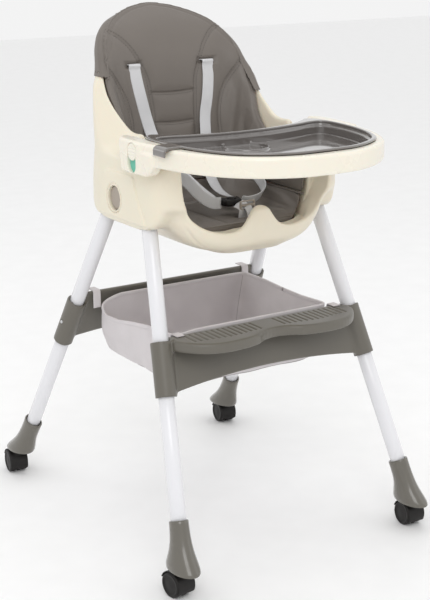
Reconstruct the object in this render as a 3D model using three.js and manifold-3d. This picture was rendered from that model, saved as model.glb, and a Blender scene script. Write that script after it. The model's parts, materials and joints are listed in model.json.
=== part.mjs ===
// Baby high chair: a moulded bucket seat on four splayed tube legs, with a sliding tray, a lift-off
// insert tray, a five-point harness, a footrest crossbar, a fabric basket and four twin-wheel casters.
// Millimetres, +Z up, the chair faces -Y. Origin: on the floor, under the middle of the whole chair.
import * as THREE from 'three';
import { mergeVertices } from 'three/addons/utils/BufferGeometryUtils.js';
import Module from 'manifold-3d';

const wasm = await Module();
wasm.setup();

// ---------------------------------------------------------------- driving dimensions
const GAP = 0.3; // clearance between touching pieces
const SIDES = { left: -1, right: 1 }; // X direction of each side, seen from the front
const ENDS = ['front', 'rear'];

const TUBE_R = 14; // leg tubes, 28 mm outside diameter
const TUBE_WALL = 1.5;
const BORE_R = 14.6; // bores round the tubes, clear of their facets
// Where each leg's axis meets the floor plane, and its lean per millimetre of height.
const LEGS = {
  front: { x: 264, y: -326.3, leanX: -0.1326, leanY: 0.407 },
  rear: { x: 262, y: 356.6, leanX: -0.127, leanY: -0.491 },
};
const BOOT_BOTTOM = 50; // caster housings, from here up
const BOOT_TOP = 127;
const BOOT_SOCKET = 84; // floor of the leg socket inside a housing
const SLEEVE_BOTTOM = 323; // crossbar sleeves round the legs
const SLEEVE_TOP = 412;
const TUBE_JOINT = 345; // lower and upper tubes meet here, inside the sleeve
const SLEEVE_R = 19;
const LEG_TOP = 652; // upper tube ends inside the seat's leg sockets

const WHEEL_R = 23;
const WHEEL_FACETS = 20;
const AXLE_Z = WHEEL_R * Math.cos(Math.PI / WHEEL_FACETS); // a flat of the wheel rests on the floor
const WHEEL_WIDTH = 14.5;
const WHEEL_INNER = 4.3; // inner face of each wheel, from the caster's mid plane
const CASTER_TRAIL = 10; // wheel axle behind the swivel axis
const AXLE_R = 3;
const STEM_R = 5.3;

const SHELL_WIDTH = 198; // half width of the seat shell above the side pods
const POD_WIDTH = 205; // half width over the side pods
const SEAT_FLOOR = 580; // top of the moulded seat floor
const ARM_TOP = 720; // top of the arms that the tray slides on
const BUTTON = { y: 2.6, z: 641, r: 21.6 }; // leg release button
const PAD_SEAM = 630; // height where the seat's bowl of padding meets the back's
const STRAP_SLOT = { x: 82, z: 858, width: 28, height: 7 };
const STRAP_WIDTH = 25;
const STRAP_THICK = 1.6;

const TRAY_BOTTOM = 721;
const TRAY_TOP = 757;
const TRAY_FLOOR = 733; // top of the tray's floor, under the insert
const ARM_REAR = -40; // rear end of the tray arms
const LATCH = { front: -150, rear: -40, bottom: 702, x: 222 };
const LOCK_SLOT = { y: -90, top: 755.5, bottom: 703.5, halfWidth: 14, depth: 6 };
const INSERT_RIM = 762;
const CUP = { x: -28, y: -154, r: 38, depth: 4 };
const FOOTREST_TOP = 418;

// ---------------------------------------------------------------- geometry helpers
/** Position-only, welded geometry whose faces point out. */
function closed(geometry) {
  let g = geometry.clone();
  g.deleteAttribute('normal');
  g.deleteAttribute('uv');
  g = mergeVertices(g, 1e-3);
  const p = g.attributes.position;
  const source = g.index.array;
  const kept = [];
  let volume = 0;
  const [a, b, c] = [new THREE.Vector3(), new THREE.Vector3(), new THREE.Vector3()];
  for (let i = 0; i < source.length; i += 3) {
    const [i0, i1, i2] = [source[i], source[i + 1], source[i + 2]];
    if (i0 === i1 || i1 === i2 || i2 === i0) continue;
    kept.push(i0, i1, i2);
    a.fromBufferAttribute(p, i0);
    b.fromBufferAttribute(p, i1);
    c.fromBufferAttribute(p, i2);
    volume += a.dot(b.cross(c));
  }
  if (volume < 0) kept.reverse();
  g.setIndex(kept);
  return g;
}

/** A closed geometry as a solid that can be joined and cut. */
function solid(geometry) {
  const g = closed(geometry);
  return new wasm.Manifold(new wasm.Mesh({
    numProp: 3,
    vertProperties: new Float32Array(g.attributes.position.array),
    triVerts: new Uint32Array(g.index.array),
  }));
}

function join(...solids) {
  return solids.reduce((total, next) => total.add(next));
}

function cut(body, ...tools) {
  return tools.reduce((left, tool) => left.subtract(tool), body);
}

function geometryOf(manifold) {
  const mesh = manifold.getMesh();
  const g = new THREE.BufferGeometry();
  g.setAttribute('position', new THREE.BufferAttribute(new Float32Array(mesh.vertProperties), 3));
  g.setIndex([...mesh.triVerts]);
  return g;
}

/** Skin over rings of equal point count, each end closed by a fan round its middle. */
function loft(rings) {
  const n = rings[0].length;
  const vertices = rings.flat().flatMap((v) => [v.x, v.y, v.z]);
  const index = [];
  for (let r = 0; r < rings.length - 1; r++) {
    for (let i = 0; i < n; i++) {
      const [a, b] = [r * n + i, r * n + ((i + 1) % n)];
      index.push(a, b, b + n, a, b + n, a + n);
    }
  }
  for (const [r, flip] of [[0, true], [rings.length - 1, false]]) {
    const middle = new THREE.Vector3();
    rings[r].forEach((v) => middle.add(v));
    middle.divideScalar(n);
    const hub = vertices.length / 3;
    vertices.push(middle.x, middle.y, middle.z);
    for (let i = 0; i < n; i++) {
      const [a, b] = [r * n + i, r * n + ((i + 1) % n)];
      index.push(hub, flip ? b : a, flip ? a : b);
    }
  }
  const g = new THREE.BufferGeometry();
  g.setAttribute('position', new THREE.Float32BufferAttribute(vertices, 3));
  g.setIndex(index);
  return g;
}

/** Level ring shaped between an ellipse (power 2) and a rectangle (high power). */
function ovalRing(x, y, z, halfX, halfY, power = 2, count = 16) {
  const ring = [];
  for (let i = 0; i < count; i++) {
    const t = (i / count) * Math.PI * 2;
    const [c, s] = [Math.cos(t), Math.sin(t)];
    const k = (Math.abs(c) ** power + Math.abs(s) ** power) ** (-1 / power);
    ring.push(new THREE.Vector3(x + halfX * c * k, y + halfY * s * k, z));
  }
  return ring;
}

/** Outline through corner points [u, v, radius], each corner rounded to its radius. */
function outline(corners) {
  const shape = new THREE.Shape();
  const n = corners.length;
  corners.forEach(([u, v, radius = 0], i) => {
    const corner = new THREE.Vector2(u, v);
    const before = new THREE.Vector2(...corners[(i + n - 1) % n]);
    const after = new THREE.Vector2(...corners[(i + 1) % n]);
    const start = corner.clone().lerp(before, Math.min(0.5, radius / corner.distanceTo(before)));
    const end = corner.clone().lerp(after, Math.min(0.5, radius / corner.distanceTo(after)));
    if (i === 0) shape.moveTo(start.x, start.y);
    else shape.lineTo(start.x, start.y);
    if (radius > 0) shape.quadraticCurveTo(u, v, end.x, end.y);
  });
  shape.closePath();
  return shape;
}

/** Closed smooth outline, symmetric about u = 0, through the points of its right half. */
function mirroredSpline(half, count) {
  const right = half.map(([u, v]) => new THREE.Vector2(u, v));
  const left = half.filter(([u]) => u > 0).reverse().map(([u, v]) => new THREE.Vector2(-u, v));
  const curve = new THREE.SplineCurve([...right, ...left, right[0]]);
  return new THREE.Shape(curve.getPoints(count).slice(0, -1));
}

const AXES = {
  x: new THREE.Matrix4().makeBasis(
    new THREE.Vector3(0, 1, 0), new THREE.Vector3(0, 0, 1), new THREE.Vector3(1, 0, 0)),
  y: new THREE.Matrix4().makeBasis(
    new THREE.Vector3(1, 0, 0), new THREE.Vector3(0, 0, 1), new THREE.Vector3(0, -1, 0)),
  z: new THREE.Matrix4(),
};

/** An outline pushed along X (drawn in Y, Z), along Y (drawn in X, Z) or along Z (drawn in X, Y). */
function prism(shape, axis, low, high, bevel = 0, curveSegments = 4) {
  const g = new THREE.ExtrudeGeometry(shape, {
    depth: high - low - 2 * bevel,
    steps: 1,
    curveSegments,
    bevelEnabled: bevel > 0,
    bevelThickness: bevel,
    bevelSize: bevel,
    bevelOffset: -bevel,
    bevelSegments: 2,
  });
  g.translate(0, 0, axis === 'y' ? -high + bevel : low + bevel);
  return g.applyMatrix4(AXES[axis]);
}

function box(x0, x1, y0, y1, z0, z1) {
  const g = new THREE.BoxGeometry(x1 - x0, y1 - y0, z1 - z0);
  return g.translate((x0 + x1) / 2, (y0 + y1) / 2, (z0 + z1) / 2);
}

/** Turns a shape made along +Y so that it runs from a to b, with its middle between them. */
function alongLine(g, a, b) {
  const direction = b.clone().sub(a).normalize();
  g.applyQuaternion(new THREE.Quaternion().setFromUnitVectors(new THREE.Vector3(0, 1, 0), direction));
  const middle = a.clone().add(b).multiplyScalar(0.5);
  return g.translate(middle.x, middle.y, middle.z);
}

function rod(a, b, r, count = 16) {
  return alongLine(new THREE.CylinderGeometry(r, r, a.distanceTo(b), count), a, b);
}

function tube(a, b, outer, inner, count = 16) {
  const h = a.distanceTo(b) / 2;
  const profile = [[inner, -h], [outer, -h], [outer, h], [inner, h], [inner, -h]];
  const g = new THREE.LatheGeometry(profile.map(([r, y]) => new THREE.Vector2(r, y)), count);
  return alongLine(g, a, b);
}

/** Flat webbing along a smooth path. widthAt(t) gives the direction of its width. */
function ribbon(points, widthAt, steps) {
  const curve = new THREE.CatmullRomCurve3(points.map((p) => new THREE.Vector3(...p)));
  const rings = [];
  for (let i = 0; i <= steps; i++) {
    const t = i / steps;
    const middle = curve.getPoint(t);
    const along = curve.getTangent(t);
    const across = new THREE.Vector3(...widthAt(t));
    across.addScaledVector(along, -across.dot(along)).normalize().multiplyScalar(STRAP_WIDTH / 2);
    const up = along.clone().cross(across).normalize().multiplyScalar(STRAP_THICK / 2);
    rings.push([[1, 1], [-1, 1], [-1, -1], [1, -1]].map(([u, v]) => (
      middle.clone().addScaledVector(across, u).addScaledVector(up, v))));
  }
  return loft(rings);
}

// ---------------------------------------------------------------- the chair
const chair = new THREE.Group();

const MATERIALS = {
  shell: { color: 0xf0e7d3, roughness: 0.35, metalness: 0 },
  upholstery: { color: 0x7a726b, roughness: 0.5, metalness: 0 },
  tray: { color: 0xf6efdf, roughness: 0.3, metalness: 0 },
  insert: { color: 0x6a645f, roughness: 0.15, metalness: 0 },
  grey: { color: 0x69665c, roughness: 0.4, metalness: 0 },
  tube: { color: 0xf2f2f4, roughness: 0.3, metalness: 0.1 },
  fabric: { color: 0xc3bcbc, roughness: 0.9, metalness: 0 },
  webbing: { color: 0xdcdcde, roughness: 0.8, metalness: 0 },
  black: { color: 0x17151a, roughness: 0.4, metalness: 0 },
  button: { color: 0xa89b90, roughness: 0.4, metalness: 0 },
  green: { color: 0x63b9a0, roughness: 0.4, metalness: 0 },
  steel: { color: 0xa9abae, roughness: 0.3, metalness: 1 },
};

function add(name, shape, material) {
  const geometry = shape.isBufferGeometry ? closed(shape) : geometryOf(shape);
  const mesh = new THREE.Mesh(geometry, new THREE.MeshStandardMaterial(MATERIALS[material]));
  mesh.name = name;
  chair.add(mesh);
}

/** Calls make(name suffix, side, end) for each of the four legs. */
function eachLeg(make) {
  for (const end of ENDS) {
    for (const [side, sign] of Object.entries(SIDES)) make(`${end}_${side}`, sign, end);
  }
}

function legPoint(end, sign, z) {
  const leg = LEGS[end];
  return new THREE.Vector3(sign * (leg.x + leg.leanX * z), leg.y + leg.leanY * z, z);
}

function legRod(end, sign, low, high, r, count) {
  return solid(rod(legPoint(end, sign, low), legPoint(end, sign, high), r, count));
}

// ---- legs and their snap buttons
const SNAP_Z = 366; // height of the snap buttons that lock the upper tubes in their sleeves
const SNAP_R = 3.6;

/** Rod through a sleeve's outer wall, square to the leg: out to the side at the rear, back at the front. */
function snapRod(end, sign, from, to, r) {
  const middle = legPoint(end, sign, SNAP_Z);
  const out = end === 'rear' ? new THREE.Vector3(sign, 0, 0) : new THREE.Vector3(0, 1, 0);
  const axis = legPoint(end, sign, 1).sub(legPoint(end, sign, 0)).normalize();
  out.addScaledVector(axis, -out.dot(axis)).normalize();
  const at = (d) => middle.clone().addScaledVector(out, d);
  return rod(at(from), at(to), r, 8);
}

function makeLegs() {
  eachLeg((where, sign, end) => {
    const lowerEnds = [legPoint(end, sign, BOOT_SOCKET + 1), legPoint(end, sign, TUBE_JOINT - GAP)];
    add(`leg_lower_${where}`, tube(...lowerEnds, TUBE_R, TUBE_R - TUBE_WALL), 'tube');
    const upper = tube(legPoint(end, sign, TUBE_JOINT + GAP), legPoint(end, sign, LEG_TOP),
      TUBE_R, TUBE_R - TUBE_WALL);
    const hole = solid(snapRod(end, sign, 5, 25, SNAP_R + GAP));
    add(`leg_upper_${where}`, cut(solid(upper), hole), 'tube');
    add(`leg_snap_button_${where}`, snapRod(end, sign, 7, SLEEVE_R + 1.2, SNAP_R), 'steel');
  });
}

// ---- crossbars
function sleeves(end) {
  return Object.values(SIDES).map((sign) => legRod(end, sign, SLEEVE_BOTTOM, SLEEVE_TOP, SLEEVE_R, 16));
}

function sleeveBores(end) {
  return Object.values(SIDES).flatMap((sign) => [
    legRod(end, sign, SLEEVE_BOTTOM - 20, SLEEVE_TOP + 40, BORE_R, 16),
    solid(snapRod(end, sign, 10, 30, SNAP_R + GAP)),
  ]);
}

/** Upright plate between the sleeves, leaning with the legs, with an arched lower edge. */
function webPlate(end, top, archRise, thick) {
  const reach = LEGS[end].x + LEGS[end].leanX * SLEEVE_BOTTOM;
  const shape = new THREE.Shape();
  shape.moveTo(-reach, SLEEVE_BOTTOM + 2);
  shape.quadraticCurveTo(0, SLEEVE_BOTTOM + 2 * archRise, reach, SLEEVE_BOTTOM + 2);
  shape.lineTo(reach - 12, top);
  shape.lineTo(-reach + 12, top);
  shape.closePath();
  const g = prism(shape, 'y', -thick / 2, thick / 2, 0, 12);
  const lean = new THREE.Matrix4().makeShear(0, 0, 0, 0, 0, LEGS[end].leanY);
  return solid(g.applyMatrix4(lean).translate(0, LEGS[end].y, 0));
}

/** Footrest outline: two rounded lobes with a dip between them. */
function footrestShape(inset) {
  const shape = new THREE.Shape();
  shape.moveTo(-194 + inset, -152 - inset);
  shape.lineTo(-198 + inset, -186);
  shape.quadraticCurveTo(-168, -241 + inset, -112, -241 + inset);
  shape.quadraticCurveTo(-70, -241 + inset, -46, -231 + inset);
  shape.quadraticCurveTo(0, -196 + inset, 46, -231 + inset);
  shape.quadraticCurveTo(70, -241 + inset, 112, -241 + inset);
  shape.quadraticCurveTo(168, -241 + inset, 198 - inset, -186);
  shape.lineTo(194 - inset, -152 - inset);
  shape.closePath();
  return shape;
}

function makeCrossbars() {
  const lipDepth = 20;
  const plate = 4;
  const footrest = cut(
    solid(prism(footrestShape(0), 'z', FOOTREST_TOP - lipDepth, FOOTREST_TOP, 0, 6)),
    solid(prism(footrestShape(4), 'z', FOOTREST_TOP - lipDepth - 5, FOOTREST_TOP - plate, 0, 6)));
  const front = join(webPlate('front', 405, 16, 11), footrest, ...sleeves('front'));
  add('front_crossbar', cut(front, ...sleeveBores('front')), 'grey');
  const rear = join(webPlate('rear', 429, 16, 11), ...sleeves('rear'));
  add('rear_crossbar', cut(rear, ...sleeveBores('rear')), 'grey');
}

// ---- casters and their housings
// How far a boot's foot, and the swivel stem in it, stand out from the leg's axis.
const BOOT_SHIFT = { front: 0, rear: 13 };
const STEM_SHIFT = { front: { x: 4, y: 0 }, rear: { x: 8, y: 11.5 } };
// How far each caster stands swivelled, in degrees about +Z.
const SWIVEL = { front_left: 7, front_right: -3, rear_left: -8, rear_right: -6 };

function stemPoint(end, sign, z) {
  const foot = legPoint(end, sign, BOOT_BOTTOM);
  return new THREE.Vector3(foot.x + sign * STEM_SHIFT[end].x, foot.y + STEM_SHIFT[end].y, z);
}

function casterHousing(end, sign) {
  // Height, half width and half length of the flared boot, from its oval foot to its round collar.
  const levels = [[50, 25, 40], [56, 25, 39.5], [68, 22.5, 33], [84, 19.4, 25], [103, 17.5, 19.8],
    [118, 16.9, 18.2], [BOOT_TOP, 16.9, 18.2]];
  const rings = levels.map(([z, halfX, halfY]) => {
    const rise = (z - BOOT_BOTTOM) / (BOOT_TOP - BOOT_BOTTOM);
    const middle = legPoint(end, sign, z);
    middle.y += BOOT_SHIFT[end] * (1 - rise) ** 2;
    const ring = ovalRing(middle.x, middle.y, z, halfX, halfY);
    // The foot is level, and the collar is square to the leg.
    const tilt = THREE.MathUtils.smoothstep(rise, 0.3, 1);
    const [leanX, leanY] = [tilt * sign * LEGS[end].leanX, tilt * LEGS[end].leanY];
    ring.forEach((v) => {
      v.z -= leanX * (v.x - middle.x) + leanY * (v.y - middle.y);
    });
    return ring;
  });
  const legSocket = legRod(end, sign, BOOT_SOCKET, BOOT_TOP + 20, BORE_R, 16);
  const stemEnds = [stemPoint(end, sign, BOOT_BOTTOM - 5), stemPoint(end, sign, BOOT_BOTTOM + 28)];
  const stemSocket = solid(rod(...stemEnds, STEM_R + GAP, 12));
  return cut(solid(loft(rings)), legSocket, stemSocket);
}

/** Mid web, hood over both wheels and swivel stem, about the swivel axis at x = 0, y = 0. */
function casterFork() {
  const hoodOuter = WHEEL_R + 2.4;
  const hoodWidth = WHEEL_INNER + WHEEL_WIDTH - 0.5;
  const hood = new THREE.Shape();
  const [from, to] = [THREE.MathUtils.degToRad(18), THREE.MathUtils.degToRad(212)];
  hood.absarc(CASTER_TRAIL, AXLE_Z, hoodOuter, from, to, false);
  hood.absarc(CASTER_TRAIL, AXLE_Z, WHEEL_R + 0.9, to, from, true);
  hood.closePath();
  const web = new THREE.Shape();
  web.absarc(CASTER_TRAIL, AXLE_Z, WHEEL_R + 1.6, 0, Math.PI * 2, false);
  const webHalf = WHEEL_INNER - 0.6;
  const clear = box(-30, 30, -40, 60, -10, 3); // keeps the web off the floor
  const stem = rod(new THREE.Vector3(0, 0, WHEEL_R), new THREE.Vector3(0, 0, BOOT_BOTTOM + 25), STEM_R, 10);
  const bearing = rod(new THREE.Vector3(0, 0, WHEEL_R + 21), new THREE.Vector3(0, 0, 49.6), 9, 12);
  const wheelRoom = Object.values(SIDES).map((sign) => solid(rod(
    new THREE.Vector3(sign * webHalf, CASTER_TRAIL, AXLE_Z),
    new THREE.Vector3(sign * 30, CASTER_TRAIL, AXLE_Z), WHEEL_R + 0.85, 16)));
  const axle = solid(rod(new THREE.Vector3(-30, CASTER_TRAIL, AXLE_Z),
    new THREE.Vector3(30, CASTER_TRAIL, AXLE_Z), AXLE_R + 0.15, 8));
  const body = join(solid(prism(hood, 'x', -hoodWidth, hoodWidth, 0, 5)),
    solid(prism(web, 'x', -webHalf, webHalf, 0, 6)), solid(stem), solid(bearing));
  return geometryOf(cut(body, solid(clear), ...wheelRoom, axle));
}

/** One wheel with rounded shoulders and an axle bore, its axle along X. */
function casterWheel(sign) {
  const half = WHEEL_WIDTH / 2;
  const profile = [[AXLE_R + 0.2, -half], [WHEEL_R - 2.5, -half], [WHEEL_R, -half + 2.5],
    [WHEEL_R, half - 1], [WHEEL_R - 1, half], [AXLE_R + 0.2, half], [AXLE_R + 0.2, -half]];
  const g = new THREE.LatheGeometry(profile.map(([r, y]) => new THREE.Vector2(r, y)), WHEEL_FACETS);
  g.rotateY(Math.PI / WHEEL_FACETS);
  g.rotateZ(sign * Math.PI / 2);
  return g.translate(sign * (WHEEL_INNER + half), CASTER_TRAIL, AXLE_Z);
}

function makeCasters() {
  const axleHalf = WHEEL_INNER + WHEEL_WIDTH - 1;
  eachLeg((where, sign, end) => {
    const at = stemPoint(end, sign, 0);
    const place = (g) => g.rotateZ(THREE.MathUtils.degToRad(SWIVEL[where])).translate(at.x, at.y, 0);
    add(`caster_housing_${where}`, casterHousing(end, sign), 'grey');
    add(`caster_fork_${where}`, place(casterFork()), 'black');
    const axle = rod(new THREE.Vector3(-axleHalf, CASTER_TRAIL, AXLE_Z),
      new THREE.Vector3(axleHalf, CASTER_TRAIL, AXLE_Z), AXLE_R, 8);
    add(`caster_axle_${where}`, place(axle), 'steel');
    for (const [wheel, wheelSign] of [['a', -1], ['b', 1]]) {
      add(`caster_wheel_${where}_${wheel}`, place(casterWheel(wheelSign)), 'black');
    }
  });
}

// ---- seat shell and upholstery, all cut from the same two outlines
// Height, half width, front and rear of the outside of the tub. Its back curves away at the top.
const TUB_OUTER = [[547, 62, -140, 70], [551, 88, -149, 84], [558, 110, -157, 94], [568, 129, -163, 101],
  [584, 146, -166, 111], [602, 161, -166, 120], [625, 170, -166, 130], [646, SHELL_WIDTH, -166, 138],
  [700, SHELL_WIDTH, -166, 146], [760, SHELL_WIDTH, -166, 150], [810, 196, -166, 157],
  [850, 190, -166, 167], [880, 186, -166, 177], [905, 186, -166, 189], [925, 186, -166, 202],
  [945, 186, -166, 221], [975, 186, -166, 256]];
// The same for the room inside it.
const TUB_INNER = [[SEAT_FLOOR, 112, -136, 88], [600, 128, -136, 102], [630, 143, -136, 114],
  [660, 150, -136, 124], [700, 151, -136, 134], [760, 158, -136, 141], [813, 168, -136, 149],
  [850, 170, -136, 155], [880, 170, -136, 163], [905, 170, -136, 175], [925, 170, -136, 190],
  [945, 170, -136, 211], [980, 170, -136, 254]];

function tub(levels, inset, count = 32) {
  return solid(loft(levels.map(([z, halfX, front, rear]) => ovalRing(
    0, (front + rear) / 2, z, halfX - inset, (rear - front) / 2 - inset, 5, count))));
}

/** Room under the shell's upper edge: level arms, then wings that rise to the back and slope outwards. */
function underUpperEdge() {
  const arms = outline([[-190, 500], [-190, ARM_TOP], [320, ARM_TOP], [320, 500]]);
  const wings = outline([[-29, 500], [-29, 757, 4], [0, 754, 8], [24, 758, 10], [51, 775, 12], [77, 795, 12],
    [97, 815, 10], [112, 835, 10], [124, 854, 15], [138, 876, 20], [158, 900, 20], [178, 924, 20],
    [199, 942, 20], [219, 956, 20], [240, 1000], [320, 1000], [320, 500]]);
  const ridge = 165; // half width where the wings start to slope outwards
  const slope = 1.8;
  const middle = solid(prism(wings, 'x', -ridge, ridge));
  const sides = Object.values(SIDES).map((sign) => {
    const [low, high] = sign < 0 ? [-260, -ridge] : [ridge, 260];
    const shear = new THREE.Matrix4().makeShear(0, -sign * slope, 0, 0, 0, 0);
    return solid(prism(wings, 'x', low, high).applyMatrix4(shear).translate(0, 0, ridge * slope));
  });
  return join(solid(prism(arms, 'x', -260, 260)), middle, ...sides);
}

// Front view of the back's top edge, as half width and height: the shell, and the liner round it.
const SHELL_TOP = [[205, 800], [196, 820], [174, 836], [164, 850], [160, 862], [156, 878], [149, 894],
  [139, 908], [127, 920], [112, 930], [95, 938], [74, 945], [46, 951], [0, 956]];
const LINER_TOP = [[200, 800], [168, 832], [162, 845], [160, 858], [156, 877], [148, 897], [138, 912],
  [127, 925], [114, 936], [98, 945], [78, 953], [54, 960], [30, 965], [0, 968]];

function backOutline(half) {
  const right = half.map(([x, z]) => new THREE.Vector2(x, z));
  const left = half.slice(0, -1).reverse().map(([x, z]) => new THREE.Vector2(-x, z));
  const curve = new THREE.SplineCurve([...right, ...left]);
  const shape = new THREE.Shape();
  shape.moveTo(-220, 500);
  shape.lineTo(220, 500);
  shape.lineTo(220, 790);
  curve.getPoints(32).forEach((v) => shape.lineTo(v.x, v.y));
  shape.lineTo(-220, 790);
  shape.closePath();
  return shape;
}

/** Leg openings in the front panel, on each side of the crotch post. */
function legOpenings() {
  const half = [[0, 627], [15, 625], [27, 612], [44, 596], [70, 591], [107, 599], [134, 616], [150, 640],
    [158, 670], [161, 740], [100, 760]];
  return mirroredSpline(half, 36);
}

/** Side pods that hold the leg tops. They hang below the arms, outside the tub. */
function podSide(inset) {
  const low = inset > 0 ? -60 : 0; // a hollow runs out through the pod's underside
  return outline([[150 - inset, 697 - inset], [140 - inset, 640, 20], [96 - inset, 600, 22],
    [44, 594 + low, 6], [-88, 594 + low, 20], [-118, 606, 16], [-136 + inset, 638, 14],
    [-166 + inset, 641], [-166 + inset, 697 - inset]]);
}

function makeSeatShell() {
  const outer = tub(TUB_OUTER, 0);
  const podSize = (inset) => solid(loft([550 - inset, 698 - inset].map((z) => (
    ovalRing(0, -10, z, POD_WIDTH - inset, 153 - inset, 5, 32)))));
  const podEnvelope = podSize(0);
  const podRoom = podSize(4);
  const pods = solid(prism(podSide(0), 'x', -POD_WIDTH - 5, POD_WIDTH + 5)).intersect(podEnvelope);
  const underTub = tub(TUB_OUTER.slice(0, 5), -1);
  let shell = join(outer, pods);
  const behindPanel = tub([[592, 124, -156, 60], [630, 143, -157, 60], [700, 152, -157, 60],
    [740, 154, -157, 60]], 0);
  shell = cut(shell, tub(TUB_INNER, 0), behindPanel);
  shell = shell.intersect(underUpperEdge());
  shell = shell.intersect(solid(prism(backOutline(SHELL_TOP), 'y', -260, 320)));
  shell = cut(shell, solid(prism(legOpenings(), 'y', -220, -110)));
  const hollowFront = -104; // in front of this the sides are solid, next to the leg openings
  for (const sign of Object.values(SIDES)) {
    const [low, high] = sign < 0 ? [-POD_WIDTH + 5, -161] : [161, POD_WIDTH - 5];
    const [armLow, armHigh] = sign < 0 ? [-192, -161] : [161, 192];
    const armHollow = solid(box(armLow, armHigh, hollowFront, 108, 640, ARM_TOP - 6));
    const podHollow = solid(prism(podSide(6), 'x', low, high))
      .intersect(solid(box(low, high, hollowFront, 200, 500, 700))).intersect(podRoom);
    const hollow = cut(podHollow, underTub).add(armHollow);
    const sockets = ENDS.map((end) => legRod(end, sign, 560, 690, TUBE_R + 4, 12));
    const boss = solid(rod(new THREE.Vector3(sign * 180, BUTTON.y, BUTTON.z),
      new THREE.Vector3(sign * (POD_WIDTH - 1), BUTTON.y, BUTTON.z), BUTTON.r + 4, 20));
    shell = cut(shell, cut(hollow, ...sockets, boss));
    shell = cut(shell, ...ENDS.map((end) => legRod(end, sign, 540, LEG_TOP + 2, BORE_R, 16)));
    shell = cut(shell, buttonRecess(sign), strapSlot(sign, 100, 240));
  }
  const underside = tub([[520, 50, -128, 60], [547, 56, -134, 64], [551, 82, -143, 78], [558, 104, -151, 88],
    [568, 123, -157, 95], [574, 130, -159, 98]], 0);
  shell = cut(shell, underside.intersect(solid(box(-170, 170, -128, 110, 500, 574))));
  add('seat_shell', shell, 'shell');
}

function strapSlot(sign, front, rear) {
  const [x, half] = [sign * STRAP_SLOT.x, STRAP_SLOT.width / 2];
  return solid(box(x - half, x + half, front, rear, STRAP_SLOT.z - STRAP_SLOT.height / 2,
    STRAP_SLOT.z + STRAP_SLOT.height / 2));
}

/** Stepped hole for the release button: its cap in front, its stem behind. */
function buttonRecess(sign) {
  const at = (x) => new THREE.Vector3(sign * x, BUTTON.y, BUTTON.z);
  return solid(rod(at(189), at(POD_WIDTH + 5), BUTTON.r + 0.7, 24))
    .add(solid(rod(at(168), at(POD_WIDTH), 9, 12)));
}

function makeReleaseButtons() {
  for (const [side, sign] of Object.entries(SIDES)) {
    const at = (x) => new THREE.Vector3(sign * x, BUTTON.y, BUTTON.z);
    const cap = solid(rod(at(196.5), at(203.5), BUTTON.r, 24));
    add(`leg_release_button_${side}`, cap.add(solid(rod(at(171), at(199), 5.5, 12))), 'button');
    add(`leg_release_spring_${side}`, tube(at(189.3), at(196.2), 8.6, 6.2, 12), 'steel');
  }
}

/**
 * The liner follows the inside of the tub and is open at the front. A bowl covers the seat, and above it
 * one pad covers the sides, the wings and the back.
 */
function makeUpholstery() {
  const side = outline([[-150, PAD_SEAM + 1], [-150, 706, 8], [-14, 706, 12], [15, 720, 10],
    [37, 735, 8], [49, 745, 8], [68, 765, 8], [77, 785, 10], [89, 805, 10], [105, 825, 10],
    [113, 842, 12], [126, 870, 20], [146, 900, 25],
    [165, 924, 20], [187, 942, 20], [207, 956, 15], [224, 969], [320, 1000], [320, PAD_SEAM + 1]]);
  const padding = 15;
  const seatTop = 597;
  // The room inside the liner runs on forwards, through the leg openings, and out at the top.
  const room = TUB_INNER.map(([z, halfX, , rear]) => [z, halfX, -190, rear]);
  room[0][0] = seatTop;
  room[room.length - 1][0] += 20;
  const outside = TUB_INNER.map((level) => [...level]);
  outside[0][0] += 0.5;
  const liner = cut(tub(outside, 0.6), tub(room, padding));
  const back = liner.intersect(solid(prism(side, 'x', -260, 260)))
    .intersect(solid(prism(backOutline(LINER_TOP), 'y', -260, 320)));
  add('back_cushion', cut(back, strapSlot(-1, 90, 220), strapSlot(1, 90, 220)), 'upholstery');
  const bowl = liner.intersect(solid(box(-260, 260, -260, 320, 500, PAD_SEAM)));
  const crotchSlot = solid(box(-3, 27, -95, -87, 560, 620));
  add('seat_cushion', cut(bowl, crotchSlot), 'upholstery');
}

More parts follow.
